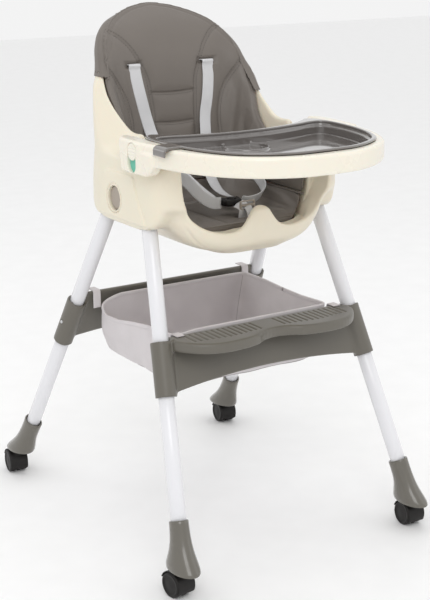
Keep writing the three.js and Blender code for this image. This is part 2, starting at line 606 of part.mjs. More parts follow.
// ---- harness
function makeHarness() {
  const shoulderTop = [[82, 184, 858], [82, 139, 858], [82, 130, 849], [80, 125, 825], [74, 118, 790],
    [66, 113, 755], [59, 107, 722]];
  // The left shoulder strap runs straight to the buckle. The right one lies down the back first.
  const shoulderEnd = {
    left: [[55, 92, 692], [49, 30, 662], [42, -20, 638], [34, -50, 627]],
    right: [[54, 96, 680], [50, 84, 650], [44, 52, 626], [35, 8, 619], [26, -40, 622]],
  };
  const waist = {
    left: [[122, 24, 652], [108, -5, 671], [92, -28, 675], [76, -42, 660], [60, -52, 640],
      [44, -60, 627], [36, -64, 622]],
    right: [[112, 20, 650], [108, 0, 644], [102, -25, 633], [88, -42, 625], [66, -54, 620], [38, -62, 619]],
  };
  for (const [side, sign] of Object.entries(SIDES)) {
    const place = (route) => route.map(([x, y, z]) => [sign * x, y, z]);
    const shoulder = place([...shoulderTop, ...shoulderEnd[side]]);
    add(`shoulder_strap_${side}`, ribbon(shoulder, () => [1, 0, 0], 24), 'webbing');
    const waistWidth = side === 'left' ? [0, 0.35, 1] : [0.3, 0.5, 1];
    add(`waist_strap_${side}`, ribbon(place(waist[side]), () => waistWidth, 14), 'webbing');
  }
  const crotch = [[12, -91, 585], [12, -92, 604], [12, -93, 614], [8, -85, 621.5]];
  add('crotch_strap', ribbon(crotch, () => [1, 0, 0], 8), 'webbing');
  const body = outline([[-19, -80, 5], [19, -80, 5], [25, -52, 8], [-25, -52, 8]]);
  const buttonHole = rod(new THREE.Vector3(0, -68, 625), new THREE.Vector3(0, -68, 640), 8.4, 20);
  add('harness_buckle', cut(solid(prism(body, 'z', 616, 629, 1.5, 3)), solid(buttonHole)), 'black');
  const button = rod(new THREE.Vector3(0, -68, 628.2), new THREE.Vector3(0, -68, 631), 8, 20);
  add('buckle_release_button', button, 'black');
}

// ---- tray, lock sliders and insert tray
/** Plan of the tray's rounded front and sides, drawn in by inset. */
function trayPlan(inset) {
  const half = [[0, -372], [60, -366], [118, -341], [165, -300], [198, -240], [216, -170], [222, -100],
    [222, ARM_REAR]];
  const right = half.map(([x, y]) => new THREE.Vector2(Math.max(x - inset, 0), y + inset));
  right[right.length - 1].y = ARM_REAR - inset;
  const curve = new THREE.SplineCurve(right);
  const edge = curve.getPoints(16);
  const belly = [[185, ARM_REAR, 0], [181, -72, 8], [160, -92, 10], [120, -108, 20], [70, -119, 20],
    [0, -122, 30]].map(([x, y]) => new THREE.Vector2(Math.max(x + (x ? inset : 0), 0), y - inset));
  const rear = new THREE.SplineCurve(belly).getPoints(12);
  rear[0].y = ARM_REAR - inset;
  const shape = new THREE.Shape();
  const loop = [...edge, ...rear];
  const mirrored = loop.slice(1, -1).reverse().map((v) => new THREE.Vector2(-v.x, v.y));
  [...loop, ...mirrored].forEach((v, i) => (i ? shape.lineTo(v.x, v.y) : shape.moveTo(v.x, v.y)));
  shape.closePath();
  return shape;
}

function stadium(y, low, high, halfWidth) {
  const shape = new THREE.Shape();
  shape.absarc(y, high - halfWidth, halfWidth, 0, Math.PI, false);
  shape.absarc(y, low + halfWidth, halfWidth, Math.PI, Math.PI * 2, false);
  shape.closePath();
  return shape;
}

function makeTray() {
  let tray = solid(prism(trayPlan(0), 'z', TRAY_BOTTOM, TRAY_TOP, 4));
  tray = cut(tray, solid(prism(trayPlan(5), 'z', TRAY_BOTTOM - 10, TRAY_FLOOR - 4)));
  tray = cut(tray, solid(prism(insertPlan(8), 'z', TRAY_FLOOR, TRAY_TOP + 10)));
  for (const sign of Object.values(SIDES)) {
    const [low, high] = sign < 0 ? [-LATCH.x, -199.5] : [199.5, LATCH.x];
    const block = outline([[LATCH.rear, 740], [LATCH.rear, LATCH.bottom, 5],
      [LATCH.front + 8, LATCH.bottom, 16], [LATCH.front - 8, 724, 6], [LATCH.front - 8, 740]]);
    tray = tray.add(solid(prism(block, 'x', low, high)));
    const slot = stadium(LOCK_SLOT.y, LOCK_SLOT.bottom, LOCK_SLOT.top, LOCK_SLOT.halfWidth);
    const slotFloor = LATCH.x - LOCK_SLOT.depth;
    const [slotLow, slotHigh] = sign < 0 ? [-260, -slotFloor] : [slotFloor, 260];
    tray = cut(tray, solid(prism(slot, 'x', slotLow, slotHigh, 0, 8)));
  }
  add('tray', tray, 'tray');
}

/** Green flag at the bottom of each lock slot, and the slider above it. */
function makeTrayLocks() {
  for (const [side, sign] of Object.entries(SIDES)) {
    const room = LOCK_SLOT.halfWidth - GAP;
    const back = LATCH.x - LOCK_SLOT.depth + GAP;
    const between = (a, b) => (sign < 0 ? [-b, -a] : [a, b]);
    const flag = stadium(LOCK_SLOT.y, LOCK_SLOT.bottom + GAP, LOCK_SLOT.top - GAP, room);
    add(`tray_lock_flag_${side}`, prism(flag, 'x', ...between(back, back + 1.5), 0, 8), 'green');
    const slider = stadium(LOCK_SLOT.y, LOCK_SLOT.bottom + 21, LOCK_SLOT.top - GAP, room);
    const reach = between(back + 1.8, LATCH.x + 1.5);
    add(`tray_lock_slider_${side}`, prism(slider, 'x', ...reach, 0, 8), 'tray');
  }
}

/** Plan of the insert tray, drawn in by inset, with the belly curve at its rear. Its rim has ears. */
function insertPlan(inset) {
  const ear = inset > 0 ? [[193, -108], [178, -92], [152, -90]]
    : [[194, -92], [184, -64], [171, -66], [152, -80]];
  const edge = [[0, -352], [58, -349], [104, -332], [145, -302], [172, -258], [189, -200], [195, -140],
    ...ear, [122, -98], [84, -106], [45, -112], [0, -114]];
  const drawn = edge.map(([x, y], i) => {
    const before = edge[Math.max(i - 1, 0)];
    const after = edge[Math.min(i + 1, edge.length - 1)];
    const normal = new THREE.Vector2(-(after[1] - before[1]), after[0] - before[0]).normalize();
    const point = new THREE.Vector2(x, y).addScaledVector(normal, inset);
    if (i === 0 || i === edge.length - 1) point.x = 0;
    return point;
  });
  const right = new THREE.SplineCurve(drawn).getPoints(26);
  const left = right.slice(1, -1).reverse().map((v) => new THREE.Vector2(-v.x, v.y));
  return new THREE.Shape([...right, ...left]);
}

function makeInsertTray() {
  const floor = TRAY_FLOOR + GAP;
  const rim = prism(insertPlan(0), 'z', TRAY_TOP + GAP, INSERT_RIM);
  const dish = solid(rim).add(solid(prism(insertPlan(8.5), 'z', floor, TRAY_TOP + 1)));
  const cup = rod(new THREE.Vector3(CUP.x, CUP.y, floor + 3), new THREE.Vector3(CUP.x, CUP.y, floor + 20),
    CUP.r, 32);
  const hollow = solid(prism(insertPlan(11.5), 'z', floor + 3 + CUP.depth, INSERT_RIM + 5));
  // One clip, on the left, hooks over the tray's edge.
  const under = TRAY_TOP + GAP + 0.2;
  const hook = outline([[-186, INSERT_RIM], [-215, INSERT_RIM, 4], [-222.5, 757, 4], [-222.5, 745],
    [-219, 745], [-219, 755, 3], [-213, under], [-186, under]]);
  const clip = solid(prism(hook, 'y', -198, -160, 0, 3));
  const cupRoom = solid(cup).intersect(solid(prism(insertPlan(13), 'z', floor, INSERT_RIM)));
  add('insert_tray', join(cut(dish, hollow, cupRoom), clip), 'insert');
}

// ---- basket and its clips
function makeBasket() {
  const levels = [[303, 142, -116, 130], [314, 160, -130, 146], [417, 171, -143, 137]];
  const ring = ([z, halfX, front, rear], inset) => ovalRing(
    0, (front + rear) / 2, z, halfX - inset, (rear - front) / 2 - inset, 9, 36);
  const outside = loft(levels.map((level) => ring(level, 0)));
  const room = [[306, 140, -114, 128], levels[1], [430, 173, -145, 136]];
  const inside = loft(room.map((level) => ring(level, 3)));
  add('storage_basket', cut(solid(outside), solid(inside)), 'fabric');
  eachLeg((where, sign, end) => {
    // A webbing loop from the basket's rim, up and over the crossbar's upper edge.
    const front = end === 'front';
    const top = front ? FOOTREST_TOP : 429;
    const [rim, far] = front ? [-144.2, -166] : [138.2, 163];
    const shape = new THREE.Shape();
    const out = front ? -1 : 1;
    [[rim, 402], [rim + out * 1.6, 402], [rim + out * 1.6, top + GAP], [far, top + GAP],
      [far, top + GAP + 1.8], [rim, top + GAP + 1.8]].forEach(([y, z], i) => (
      i ? shape.lineTo(y, z) : shape.moveTo(y, z)));
    shape.closePath();
    const [low, high] = sign < 0 ? [-187, -161] : [161, 187];
    add(`basket_clip_${where}`, prism(shape, 'x', low, high), 'webbing');
  });
}

makeSeatShell();
makeUpholstery();
makeHarness();
makeReleaseButtons();
makeTray();
makeTrayLocks();
makeInsertTray();
makeLegs();
makeCrossbars();
makeBasket();
makeCasters();

export default chair;
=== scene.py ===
"""Baby high chair: the detailed look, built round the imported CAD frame.

Millimetres in the shape code, metres in the meshes. +Z is up and the chair faces -Y.
Moulded parts are distance fields, blended, rounded and skinned on a fine grid. Padded parts are blown
up by cloth simulation and then stitched. Webbing, tubes and piping are swept along curves.
"""
import json
import math

import bpy
import numpy as np
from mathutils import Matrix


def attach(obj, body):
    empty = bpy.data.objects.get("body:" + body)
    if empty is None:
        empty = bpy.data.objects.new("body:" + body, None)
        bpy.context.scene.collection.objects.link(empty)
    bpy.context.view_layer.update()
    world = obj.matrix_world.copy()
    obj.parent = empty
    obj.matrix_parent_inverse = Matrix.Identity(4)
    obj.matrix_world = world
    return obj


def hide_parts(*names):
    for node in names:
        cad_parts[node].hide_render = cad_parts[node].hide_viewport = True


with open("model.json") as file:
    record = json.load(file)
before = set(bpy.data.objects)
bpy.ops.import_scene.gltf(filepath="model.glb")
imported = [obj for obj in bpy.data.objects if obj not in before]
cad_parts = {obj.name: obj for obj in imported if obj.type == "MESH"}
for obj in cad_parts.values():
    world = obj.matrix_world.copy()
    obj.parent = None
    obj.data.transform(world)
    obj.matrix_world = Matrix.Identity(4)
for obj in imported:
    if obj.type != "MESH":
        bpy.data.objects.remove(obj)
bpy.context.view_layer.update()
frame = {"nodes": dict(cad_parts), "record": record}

import openvdb
from mathutils import Vector
from mathutils.bvhtree import BVHTree

MM = 0.001
SIDES = {"left": -1, "right": 1}
ENDS = ("front", "rear")
PLACES = [(f"{end}_{side}", end, sign) for end in ENDS for side, sign in SIDES.items()]

# ------------------------------------------------------------------ driving dimensions, as in the CAD
LEGS = {  # where each leg's axis meets the floor, and its lean per millimetre of height
    "front": {"x": 264, "y": -326.3, "lean_x": -0.1326, "lean_y": 0.407},
    "rear": {"x": 262, "y": 356.6, "lean_x": -0.127, "lean_y": -0.491},
}
TUBE_R = 14
TUBE_WALL = 1.5
BOOT_BOTTOM = 50
BOOT_TOP = 127
SLEEVE_BOTTOM = 323
SLEEVE_TOP = 412
SLEEVE_R = 19
TUBE_JOINT = 345
LEG_TOP = 652
WHEEL_R = 23
AXLE_Z = WHEEL_R * math.cos(math.pi / 20)
WHEEL_WIDTH = 14.5
WHEEL_INNER = 4.3
CASTER_TRAIL = 10
BOOT_SHIFT = {"front": 0, "rear": 13}
STEM_SHIFT = {"front": (4, 0), "rear": (8, 11.5)}
SWIVEL = {"front_left": 7, "front_right": -3, "rear_left": -8, "rear_right": -6}
SNAP_Z = 366
SHELL_WIDTH = 198
POD_WIDTH = 205
ARM_TOP = 720
BUTTON = {"y": 2.6, "z": 641, "r": 21.6}
STRAP_SLOT = {"x": 82, "z": 858, "width": 28, "height": 7}
STRAP_WIDTH = 25
SEAT_TOP = 597
PAD_SEAM = 630
STRAP_THICK = 1.6
CROTCH = {"x": 12, "y": -91}
TRAY_BOTTOM = 721
TRAY_TOP = 757
TRAY_FLOOR = 733
LATCH = {"front": -150, "rear": -40, "bottom": 702, "x": 222}
LOCK_SLOT = {"y": -90, "top": 755.5, "bottom": 703.5, "half": 14, "depth": 6}
INSERT_RIM = 762
CUP = {"x": -28, "y": -154, "r": 38}
FOOTREST_TOP = 418

# Height, half width, front and rear of the tub's outside and of the room inside it.
TUB_OUTER = [(547, 62, -140, 70), (551, 88, -149, 84), (558, 110, -157, 94), (568, 129, -163, 101),
             (584, 146, -166, 111), (602, 161, -166, 120), (625, 170, -166, 130),
             (646, SHELL_WIDTH, -166, 138), (700, SHELL_WIDTH, -166, 146), (760, SHELL_WIDTH, -166, 150),
             (810, 196, -166, 157), (850, 190, -166, 167), (880, 186, -166, 177), (905, 186, -166, 189),
             (925, 186, -166, 202), (945, 186, -166, 221), (975, 186, -166, 256)]
TUB_INNER = [(580, 112, -136, 88), (600, 128, -136, 102), (630, 143, -136, 114), (660, 150, -136, 124),
             (700, 151, -136, 134), (760, 158, -136, 141), (813, 168, -136, 149), (850, 170, -136, 155),
             (880, 170, -136, 163), (905, 170, -136, 175), (925, 170, -136, 190), (945, 170, -136, 211),
             (980, 170, -136, 254)]
# Side view of the wings' top edge and of the liner's front edge; front view of the back's top edge.
WINGS = [(-29, 500), (-29, 757), (0, 754), (24, 758), (51, 775), (77, 795), (97, 815), (112, 835),
         (124, 854), (138, 876), (158, 900), (178, 924), (199, 942), (219, 956), (240, 1000), (320, 1000),
         (320, 500)]
LINER_SIDE = [(-127, 600), (-127, 705), (-14, 705), (15, 720), (37, 735), (49, 745), (68, 765), (77, 785),
              (89, 805), (105, 825), (113, 842), (126, 870), (146, 900), (165, 924), (187, 942), (207, 956),
              (224, 969), (320, 1000), (320, 600)]
SHELL_TOP = [(205, 800), (196, 820), (174, 836), (164, 850), (160, 862), (156, 878), (149, 894),
             (139, 908), (127, 920), (112, 930), (95, 938), (74, 945), (46, 951), (0, 956)]
LINER_TOP = [(200, 800), (168, 832), (162, 845), (160, 858), (156, 877), (148, 897), (138, 912),
             (127, 925), (114, 936), (98, 945), (78, 953), (54, 960), (30, 965), (0, 968)]
HOOD_HEM = 846  # the cover wraps over the back of the shell above this height
PANEL_RAISE = 3.6  # how far the pods' panels stand out
BIB_REAR = -141  # the front wall narrows ahead of this
REAR_BAR_TOP = 429
CLOTH_FRAMES = 20
FAR = 1e3  # a distance that is outside everything
# Front view, right half, of the liner's sewn seams: round the head panel, and round the side bolster.
HEAD_SEAM = [(124, 922), (102, 909), (82, 888), (66, 859), (54, 829), (50, 800), (46, 745), (45, 690),
             (44, 640)]
BOLSTER_SEAM = [(153, 862), (130, 833), (111, 803), (100, 768), (98, 735), (101, 700), (104, 650)]
CROSS_SEAMS = [804, 747]


# ------------------------------------------------------------------ camera, light and floor
def add_camera():
    """Stands in front of the chair, over to the -X side, and looks down on the tray."""
    azimuth = math.radians(-33.28)
    elevation = math.radians(16.23)
    data = bpy.data.cameras.new("camera")
    data.lens = 81.76
    data.sensor_width = 36
    camera = bpy.data.objects.new("camera", data)
    back = Vector((math.sin(azimuth) * math.cos(elevation), -math.cos(azimuth) * math.cos(elevation),
                   math.sin(elevation)))
    camera.rotation_euler = (-back).to_track_quat("-Z", "Y").to_euler()
    camera.location = Vector((-1376.39, -2109.59, 1150.53)) * MM
    bpy.context.scene.collection.objects.link(camera)
    bpy.context.scene.camera = camera


def add_area_light(name, place, target, size, power):
    data = bpy.data.lights.new(name, "AREA")
    data.shape = "RECTANGLE"
    data.size = size[0]
    data.size_y = size[1]
    data.energy = power
    light = bpy.data.objects.new(name, data)
    light.location = place
    light.rotation_euler = (Vector(target) - Vector(place)).to_track_quat("-Z", "Y").to_euler()
    bpy.context.scene.collection.objects.link(light)


def add_studio():
    middle = (0, 0, 0.55)
    add_area_light("key", (-1.6, -2.6, 2.9), middle, (1.8, 1.8), 30)
    add_area_light("fill", (2.7, -1.9, 1.6), middle, (1.6, 2.0), 5)
    add_area_light("top", (0.2, 0.3, 3.2), middle, (2.2, 2.2), 8)
    add_area_light("rim", (-1.9, 2.3, 1.9), middle, (1.2, 1.8), 5)
    world = bpy.data.worlds.new("studio")
    world.use_nodes = True
    background = world.node_tree.nodes["Background"]
    background.inputs["Color"].default_value = (1, 1, 1, 1)
    background.inputs["Strength"].default_value = 0.9
    bpy.context.scene.world = world
    bpy.context.scene.view_settings.view_transform = "Standard"
    half = 9
    mesh = bpy.data.meshes.new("floor")
    mesh.from_pydata([(-half, -half, 0), (half, -half, 0), (half, half, 0), (-half, half, 0)], [],
                     [(0, 1, 2, 3)])
    floor = bpy.data.objects.new("floor", mesh)
    floor.data.materials.append(plastic("studio_floor", (0.93, 0.93, 0.93), 0.6))
    bpy.context.scene.collection.objects.link(floor)


# ------------------------------------------------------------------ materials
def new_finish(name, roughness, **sockets):
    """A material with its Principled shader and object coordinates; sockets are set on the shader."""
    material = bpy.data.materials.new(name)
    material.use_nodes = True
    tree = material.node_tree
    shader = tree.nodes["Principled BSDF"]
    shader.inputs["Roughness"].default_value = roughness
    for socket, value in sockets.items():
        shader.inputs[socket.replace("_", " ")].default_value = value
    place = tree.nodes.new("ShaderNodeTexCoord")
    return material, tree, shader, place


def noise(tree, place, scale, detail=3.0):
    node = tree.nodes.new("ShaderNodeTexNoise")
    node.inputs["Scale"].default_value = scale
    node.inputs["Detail"].default_value = detail
    tree.links.new(place, node.inputs["Vector"])
    return node.outputs["Fac"]


def spread(tree, value, low, high):
    """Turns a 0 to 1 texture into the range low to high."""
    node = tree.nodes.new("ShaderNodeMapRange")
    node.inputs["To Min"].default_value = low
    node.inputs["To Max"].default_value = high
    tree.links.new(value, node.inputs["Value"])
    return node.outputs["Result"]


def tint(tree, value, dark, light):
    """A colour that wanders between two, by a texture."""
    node = tree.nodes.new("ShaderNodeMix")
    node.data_type = "RGBA"
    node.inputs["A"].default_value = (*dark, 1)
    node.inputs["B"].default_value = (*light, 1)
    tree.links.new(value, node.inputs["Factor"])
    return node.outputs["Result"]


def bump(tree, height, strength, depth_mm, normal=None):
    node = tree.nodes.new("ShaderNodeBump")
    node.inputs["Strength"].default_value = strength
    node.inputs["Distance"].default_value = depth_mm * MM
    tree.links.new(height, node.inputs["Height"])
    if normal is not None:
        tree.links.new(normal, node.inputs["Normal"])
    return node.outputs["Normal"]


def wave(tree, place, axis, period_mm):
    node = tree.nodes.new("ShaderNodeTexWave")
    node.bands_direction = axis
    node.inputs["Scale"].default_value = math.pi / (10 * period_mm * MM)  # one band each period
    node.inputs["Distortion"].default_value = 0.4
    node.inputs["Detail Scale"].default_value = 0.5
    tree.links.new(place, node.inputs["Vector"])
    return node.outputs["Fac"]


def total(tree, first, second, operation="ADD"):
    node = tree.nodes.new("ShaderNodeMath")
    node.operation = operation
    tree.links.new(first, node.inputs[0])
    tree.links.new(second, node.inputs[1])
    return node.outputs["Value"]


def shaded(colour, factor):
    return tuple(min(1, c * factor) for c in colour)


def plastic(name, colour, roughness, grain_mm=1.2, grain=0.06, variation=0.03, **sockets):
    """Moulded plastic: a fine spark texture, slow waves in the skin and small changes of gloss."""
    material, tree, shader, coords = new_finish(name, roughness, **sockets)
    place = coords.outputs["Object"]
    cloud = noise(tree, place, 14, 4)
    fine = noise(tree, place, 1 / (grain_mm * MM), 2)
    slow = noise(tree, place, 30, 2)
    colour_link = tint(tree, cloud, shaded(colour, 1 - variation), shaded(colour, 1 + variation))
    tree.links.new(colour_link, shader.inputs["Base Color"])
    tree.links.new(spread(tree, cloud, roughness * 0.85, roughness * 1.18), shader.inputs["Roughness"])
    normal = bump(tree, slow, 0.06, 0.2)
    tree.links.new(bump(tree, fine, grain, 0.05, normal), shader.inputs["Normal"])
    return material


def leather(name, colour):
    """Soft PU leather: pebbled grain, shallow creases, colour a little worn on the slow scale."""
    material, tree, shader, coords = new_finish(name, 0.46, Sheen_Weight=0.08, Sheen_Roughness=0.4)
    place = coords.outputs["Object"]
    cells = tree.nodes.new("ShaderNodeTexVoronoi")
    cells.feature = "SMOOTH_F1"
    cells.inputs["Scale"].default_value = 780
    tree.links.new(place, cells.inputs["Vector"])
    cloud = noise(tree, place, 11, 5)
    creases = noise(tree, place, 120, 6)
    tree.links.new(tint(tree, cloud, shaded(colour, 0.9), shaded(colour, 1.1)), shader.inputs["Base Color"])
    tree.links.new(spread(tree, creases, 0.38, 0.56), shader.inputs["Roughness"])
    normal = bump(tree, creases, 0.22, 0.5)
    tree.links.new(bump(tree, cells.outputs["Distance"], 0.28, 0.22, normal), shader.inputs["Normal"])
    return material


def cloth(name, colour, period_mm, roughness=0.85):
    """Plain woven cloth: threads along X, Y and Z, whichever two lie in the surface."""
    material, tree, shader, coords = new_finish(name, roughness, Sheen_Weight=0.15, Sheen_Roughness=0.5)
    place = coords.outputs["Object"]
    weave = wave(tree, place, "X", period_mm)
    for axis in ("Y", "Z"):
        weave = total(tree, weave, wave(tree, place, axis, period_mm))
    cloud = noise(tree, place, 18, 5)
    tree.links.new(tint(tree, cloud, shaded(colour, 0.9), shaded(colour, 1.08)), shader.inputs["Base Color"])
    tree.links.new(spread(tree, cloud, roughness * 0.92, roughness * 1.05), shader.inputs["Roughness"])
    normal = bump(tree, noise(tree, place, 70, 4), 0.25, 0.8)
    tree.links.new(bump(tree, weave, 0.25, 0.12, normal), shader.inputs["Normal"])
    return material


def webbing(name, colour):
    """Harness webbing: ribs along the strap and a twill across it, from the sweep's own coordinates."""
    material, tree, shader, coords = new_finish(name, 0.6, Sheen_Weight=0.25, Sheen_Roughness=0.4)
    place = coords.outputs["UV"]
    ribs = wave(tree, place, "X", 1.5)
    twill = wave(tree, place, "DIAGONAL", 1.1)
    cross = wave(tree, place, "Y", 0.9)
    weave = total(tree, total(tree, ribs, twill), cross)
    cloud = noise(tree, coords.outputs["Object"], 40, 4)
    shade = total(tree, cloud, ribs, "MULTIPLY")
    tree.links.new(tint(tree, shade, shaded(colour, 0.82), shaded(colour, 1.05)), shader.inputs["Base Color"])
    tree.links.new(spread(tree, cloud, 0.52, 0.68), shader.inputs["Roughness"])
    tree.links.new(bump(tree, weave, 0.35, 0.15), shader.inputs["Normal"])
    return material


def metal(name, colour, roughness):
    material, tree, shader, coords = new_finish(name, roughness, Metallic=1.0)
    place = coords.outputs["Object"]
    brushed = noise(tree, place, 400, 4)
    tinted = tint(tree, brushed, shaded(colour, 0.92), shaded(colour, 1.05))
    tree.links.new(tinted, shader.inputs["Base Color"])
    tree.links.new(spread(tree, brushed, roughness * 0.8, roughness * 1.3), shader.inputs["Roughness"])
    tree.links.new(bump(tree, brushed, 0.1, 0.04), shader.inputs["Normal"])
    return material


FINISHES = {
    "shell_plastic": plastic("shell_plastic", (0.79, 0.725, 0.59), 0.34, variation=0.012, Coat_Weight=0.15,
                             Coat_Roughness=0.2, Subsurface_Weight=0.05),
    "tray_plastic": plastic("tray_plastic", (0.84, 0.79, 0.68), 0.27, variation=0.01, grain=0.02,
                            Coat_Weight=0.25, Coat_Roughness=0.12, Subsurface_Weight=0.05),
    "insert_plastic": plastic("insert_plastic", (0.135, 0.121, 0.113), 0.14, grain=0.015,
                              Coat_Weight=1.0, Coat_Roughness=0.03, Coat_IOR=1.7),
    "grey_plastic": plastic("grey_plastic", (0.128, 0.118, 0.098), 0.36, grain=0.1, Coat_Weight=0.1,
                            Coat_Roughness=0.3),
    "tube_paint": plastic("tube_paint", (0.77, 0.77, 0.795), 0.25, grain_mm=2.5, grain=0.04,
                          variation=0.012, Coat_Weight=0.35, Coat_Roughness=0.12),
    "black_plastic": plastic("black_plastic", (0.0105, 0.009, 0.0085), 0.46, grain=0.1,
                             Specular_IOR_Level=0.3),
    "button_plastic": plastic("button_plastic", (0.36, 0.31, 0.26), 0.38),
    "flag_plastic": plastic("flag_plastic", (0.13, 0.50, 0.37), 0.42),
    "upholstery": leather("upholstery", (0.158, 0.138, 0.121)),
    "basket_fabric": cloth("basket_fabric", (0.64, 0.605, 0.615), 1.1),
    "webbing": webbing("webbing", (0.72, 0.72, 0.735)),
    "steel": metal("steel", (0.62, 0.63, 0.64), 0.3),
}
THREAD = plastic("sewing_thread", (0.10, 0.088, 0.078), 0.55, grain_mm=0.6, grain=0.4)
BASKET_SEAM = cloth("basket_seam", (0.36, 0.335, 0.34), 0.8)
BOOT_PLASTIC = plastic("boot_plastic", (0.125, 0.115, 0.096), 0.24, grain=0.05, Coat_Weight=0.5,
                       Coat_Roughness=0.12)


# ------------------------------------------------------------------ meshes
def add_piece(name, points, faces, finish, body, replaces=(), uv=None, material=None):
    """Makes a smooth-shaded object from points in millimetres and hangs it on a CAD body."""
    mesh = bpy.data.meshes.new(name)
    mesh.from_pydata((np.asarray(points, float) * MM).tolist(), [], faces)
    if uv is not None:
        layer = mesh.uv_layers.new(name="along")
        corners = np.array([corner for face in uv for corner in face])
        layer.data.foreach_set("uv", corners.ravel())
    mesh.validate()
    mesh.shade_smooth()
    piece = bpy.data.objects.new(name, mesh)
    piece.data.materials.append(material or FINISHES[finish])
    bpy.context.scene.collection.objects.link(piece)
    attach(piece, body)
    if replaces:
        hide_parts(*([replaces] if isinstance(replaces, str) else replaces))
    return piece


def smooth_line(points, count):
    """Points on a smooth curve through the given ones."""
    p = np.array(points, float)
    ends = np.vstack([2 * p[0] - p[1], p, 2 * p[-1] - p[-2]])
    t = np.linspace(0, len(p) - 1, count)
    i = np.minimum(t.astype(int), len(p) - 2)
    f = (t - i)[:, None]
    a, b, c, d = ends[i], ends[i + 1], ends[i + 2], ends[i + 3]
    return 0.5 * (2 * b + (c - a) * f + (2 * a - 5 * b + 4 * c - d) * f**2 + (3 * b - a - 3 * c + d) * f**3)


def flat_curve(points, count):
    """Points on a smooth curve through points in a plane."""
    return smooth_line([(*p, 0) for p in points], count)[:, :2]


def even_line(points, spacing):
    """The same curve, with points at an even spacing."""
    fine = smooth_line(points, 40 * len(points))
    lengths = np.concatenate([[0], np.cumsum(np.linalg.norm(np.diff(fine, axis=0), axis=1))])
    count = max(2, int(round(lengths[-1] / spacing)) + 1)
    at = np.linspace(0, lengths[-1], count)
    return np.stack([np.interp(at, lengths, fine[:, k]) for k in range(3)], axis=1)


def skin(rings, closed_ends=True):
    """Quads over rings of equal count, each end closed by a fan round its middle."""
    rings = np.asarray(rings, float)
    rows, count = rings.shape[:2]
    points = rings.reshape(-1, 3)
    faces = []
    for row in range(rows - 1):
        for i in range(count):
            j = (i + 1) % count
            faces.append((row * count + i, row * count + j, (row + 1) * count + j, (row + 1) * count + i))
    if closed_ends:
        points = np.vstack([points, rings[0].mean(0), rings[-1].mean(0)])
        hubs = len(points) - 2, len(points) - 1
        last = (rows - 1) * count
        for i in range(count):
            j = (i + 1) % count
            faces.append((hubs[0], j, i))
            faces.append((hubs[1], last + i, last + j))
    return outward(points, faces)


def outward(points, faces):
    """Turns every face over when the closed skin is inside out."""
    volume = 0.0
    p = np.asarray(points, float)
    for size in (3, 4):
        some = np.array([f for f in faces if len(f) == size], int)
        if len(some):
            for k in range(1, size - 1):
                a, b, c = p[some[:, 0]], p[some[:, k]], p[some[:, k + 1]]
                volume += np.einsum("ij,ij->", a, np.cross(b, c))
    return p, [tuple(reversed(f)) for f in faces] if volume < 0 else list(faces)


def frames_along(line, first):
    """Unit tangents and two steady sideways directions along a line."""
    tangents = np.gradient(line, axis=0)
    tangents /= np.maximum(np.linalg.norm(tangents, axis=1), 1e-9)[:, None]
    side = np.array(first, float)
    sides = []
    for tangent in tangents:
        side = side - side.dot(tangent) * tangent
        side = side / np.linalg.norm(side)
        sides.append(side)
    sides = np.array(sides)
    return tangents, sides, np.cross(tangents, sides)


def sweep(line, section, first):
    """Rings of a 2-D section carried along a line, its first axis kept near the direction first."""
    line = np.asarray(line, float)
    _, sides, ups = frames_along(line, first)
    section = np.asarray(section, float)
    return (line[:, None] + sides[:, None] * section[None, :, :1] + ups[:, None] * section[None, :, 1:])


def circle(radius, count=12):
    t = np.linspace(0, 2 * math.pi, count, endpoint=False)
    return np.stack([np.cos(t), np.sin(t)], axis=1) * radius


def cord_piece(name, line, radius, finish, body, count=10, first=(0.3, 0.2, 1), material=None):
    points, faces = skin(sweep(line, circle(radius, count), first))
    return add_piece(name, points, faces, finish, body, material=material)


def strap(name, route, across, body, replaces=(), width=STRAP_WIDTH, spacing=3, material=None):
    """A flat webbing band with turned edges and coordinates across and along it."""
    line = even_line(route, spacing)
    half, thick = width / 2, STRAP_THICK / 2
    edge = 0.9
    quarter = [(half, 0), (half - edge * 0.3, thick), (half - 2 * edge, thick * 1.15), (half / 2, thick)]
    upper = [*quarter, (0, thick), *[(-u, w) for u, w in quarter[:0:-1]]]
    section = [*upper, *[(-u, -w) for u, w in upper]]
    rings = sweep(line, section, across)
    points, faces = skin(rings)
    steps = np.concatenate([[0], np.cumsum(np.linalg.norm(np.diff(line, axis=0), axis=1))]) * MM
    section_u = np.array(section)[:, 0] * MM
    count = len(section)
    uv = []
    for face in faces:
        uv.append([(section_u[p % count], steps[min(p // count, len(steps) - 1)]) for p in face])
    return add_piece(name, points, faces, "webbing", body, replaces, uv=uv, material=material)


def lathe(profile, count=48):
    """Rings of a profile of (distance along, radius) turned round the X axis."""
    t = np.linspace(0, 2 * math.pi, count, endpoint=False)
    return np.array([[(x, r * math.cos(a), r * math.sin(a)) for a in t] for x, r in profile])


# ------------------------------------------------------------------ distance fields
class Space:
    """A box of space on a grid. Shapes are distances in millimetres, negative inside."""

    def __init__(self, low, high, step):
        counts = [int(math.ceil((b - a) / step)) + 1 for a, b in zip(low, high)]
        x, y, z = [np.arange(n, dtype=np.float32) * step + a for a, n in zip(low, counts)]
        self.x, self.y, self.z = x[:, None, None], y[None, :, None], z[None, None, :]
        self.low, self.step, self.shape = np.array(low, float), step, counts

    def skin(self, field):
        """Points and faces of the surface where the field is zero."""
        field = np.broadcast_to(field, self.shape).astype(np.float32) / self.step
        grid = openvdb.FloatGrid(3.0)
        grid.copyFromArray(np.ascontiguousarray(np.clip(field, -3, 3)))
        points, quads = grid.convertToQuads(0.0)
        return outward(points.astype(float) * self.step + self.low, [tuple(q) for q in quads.tolist()])


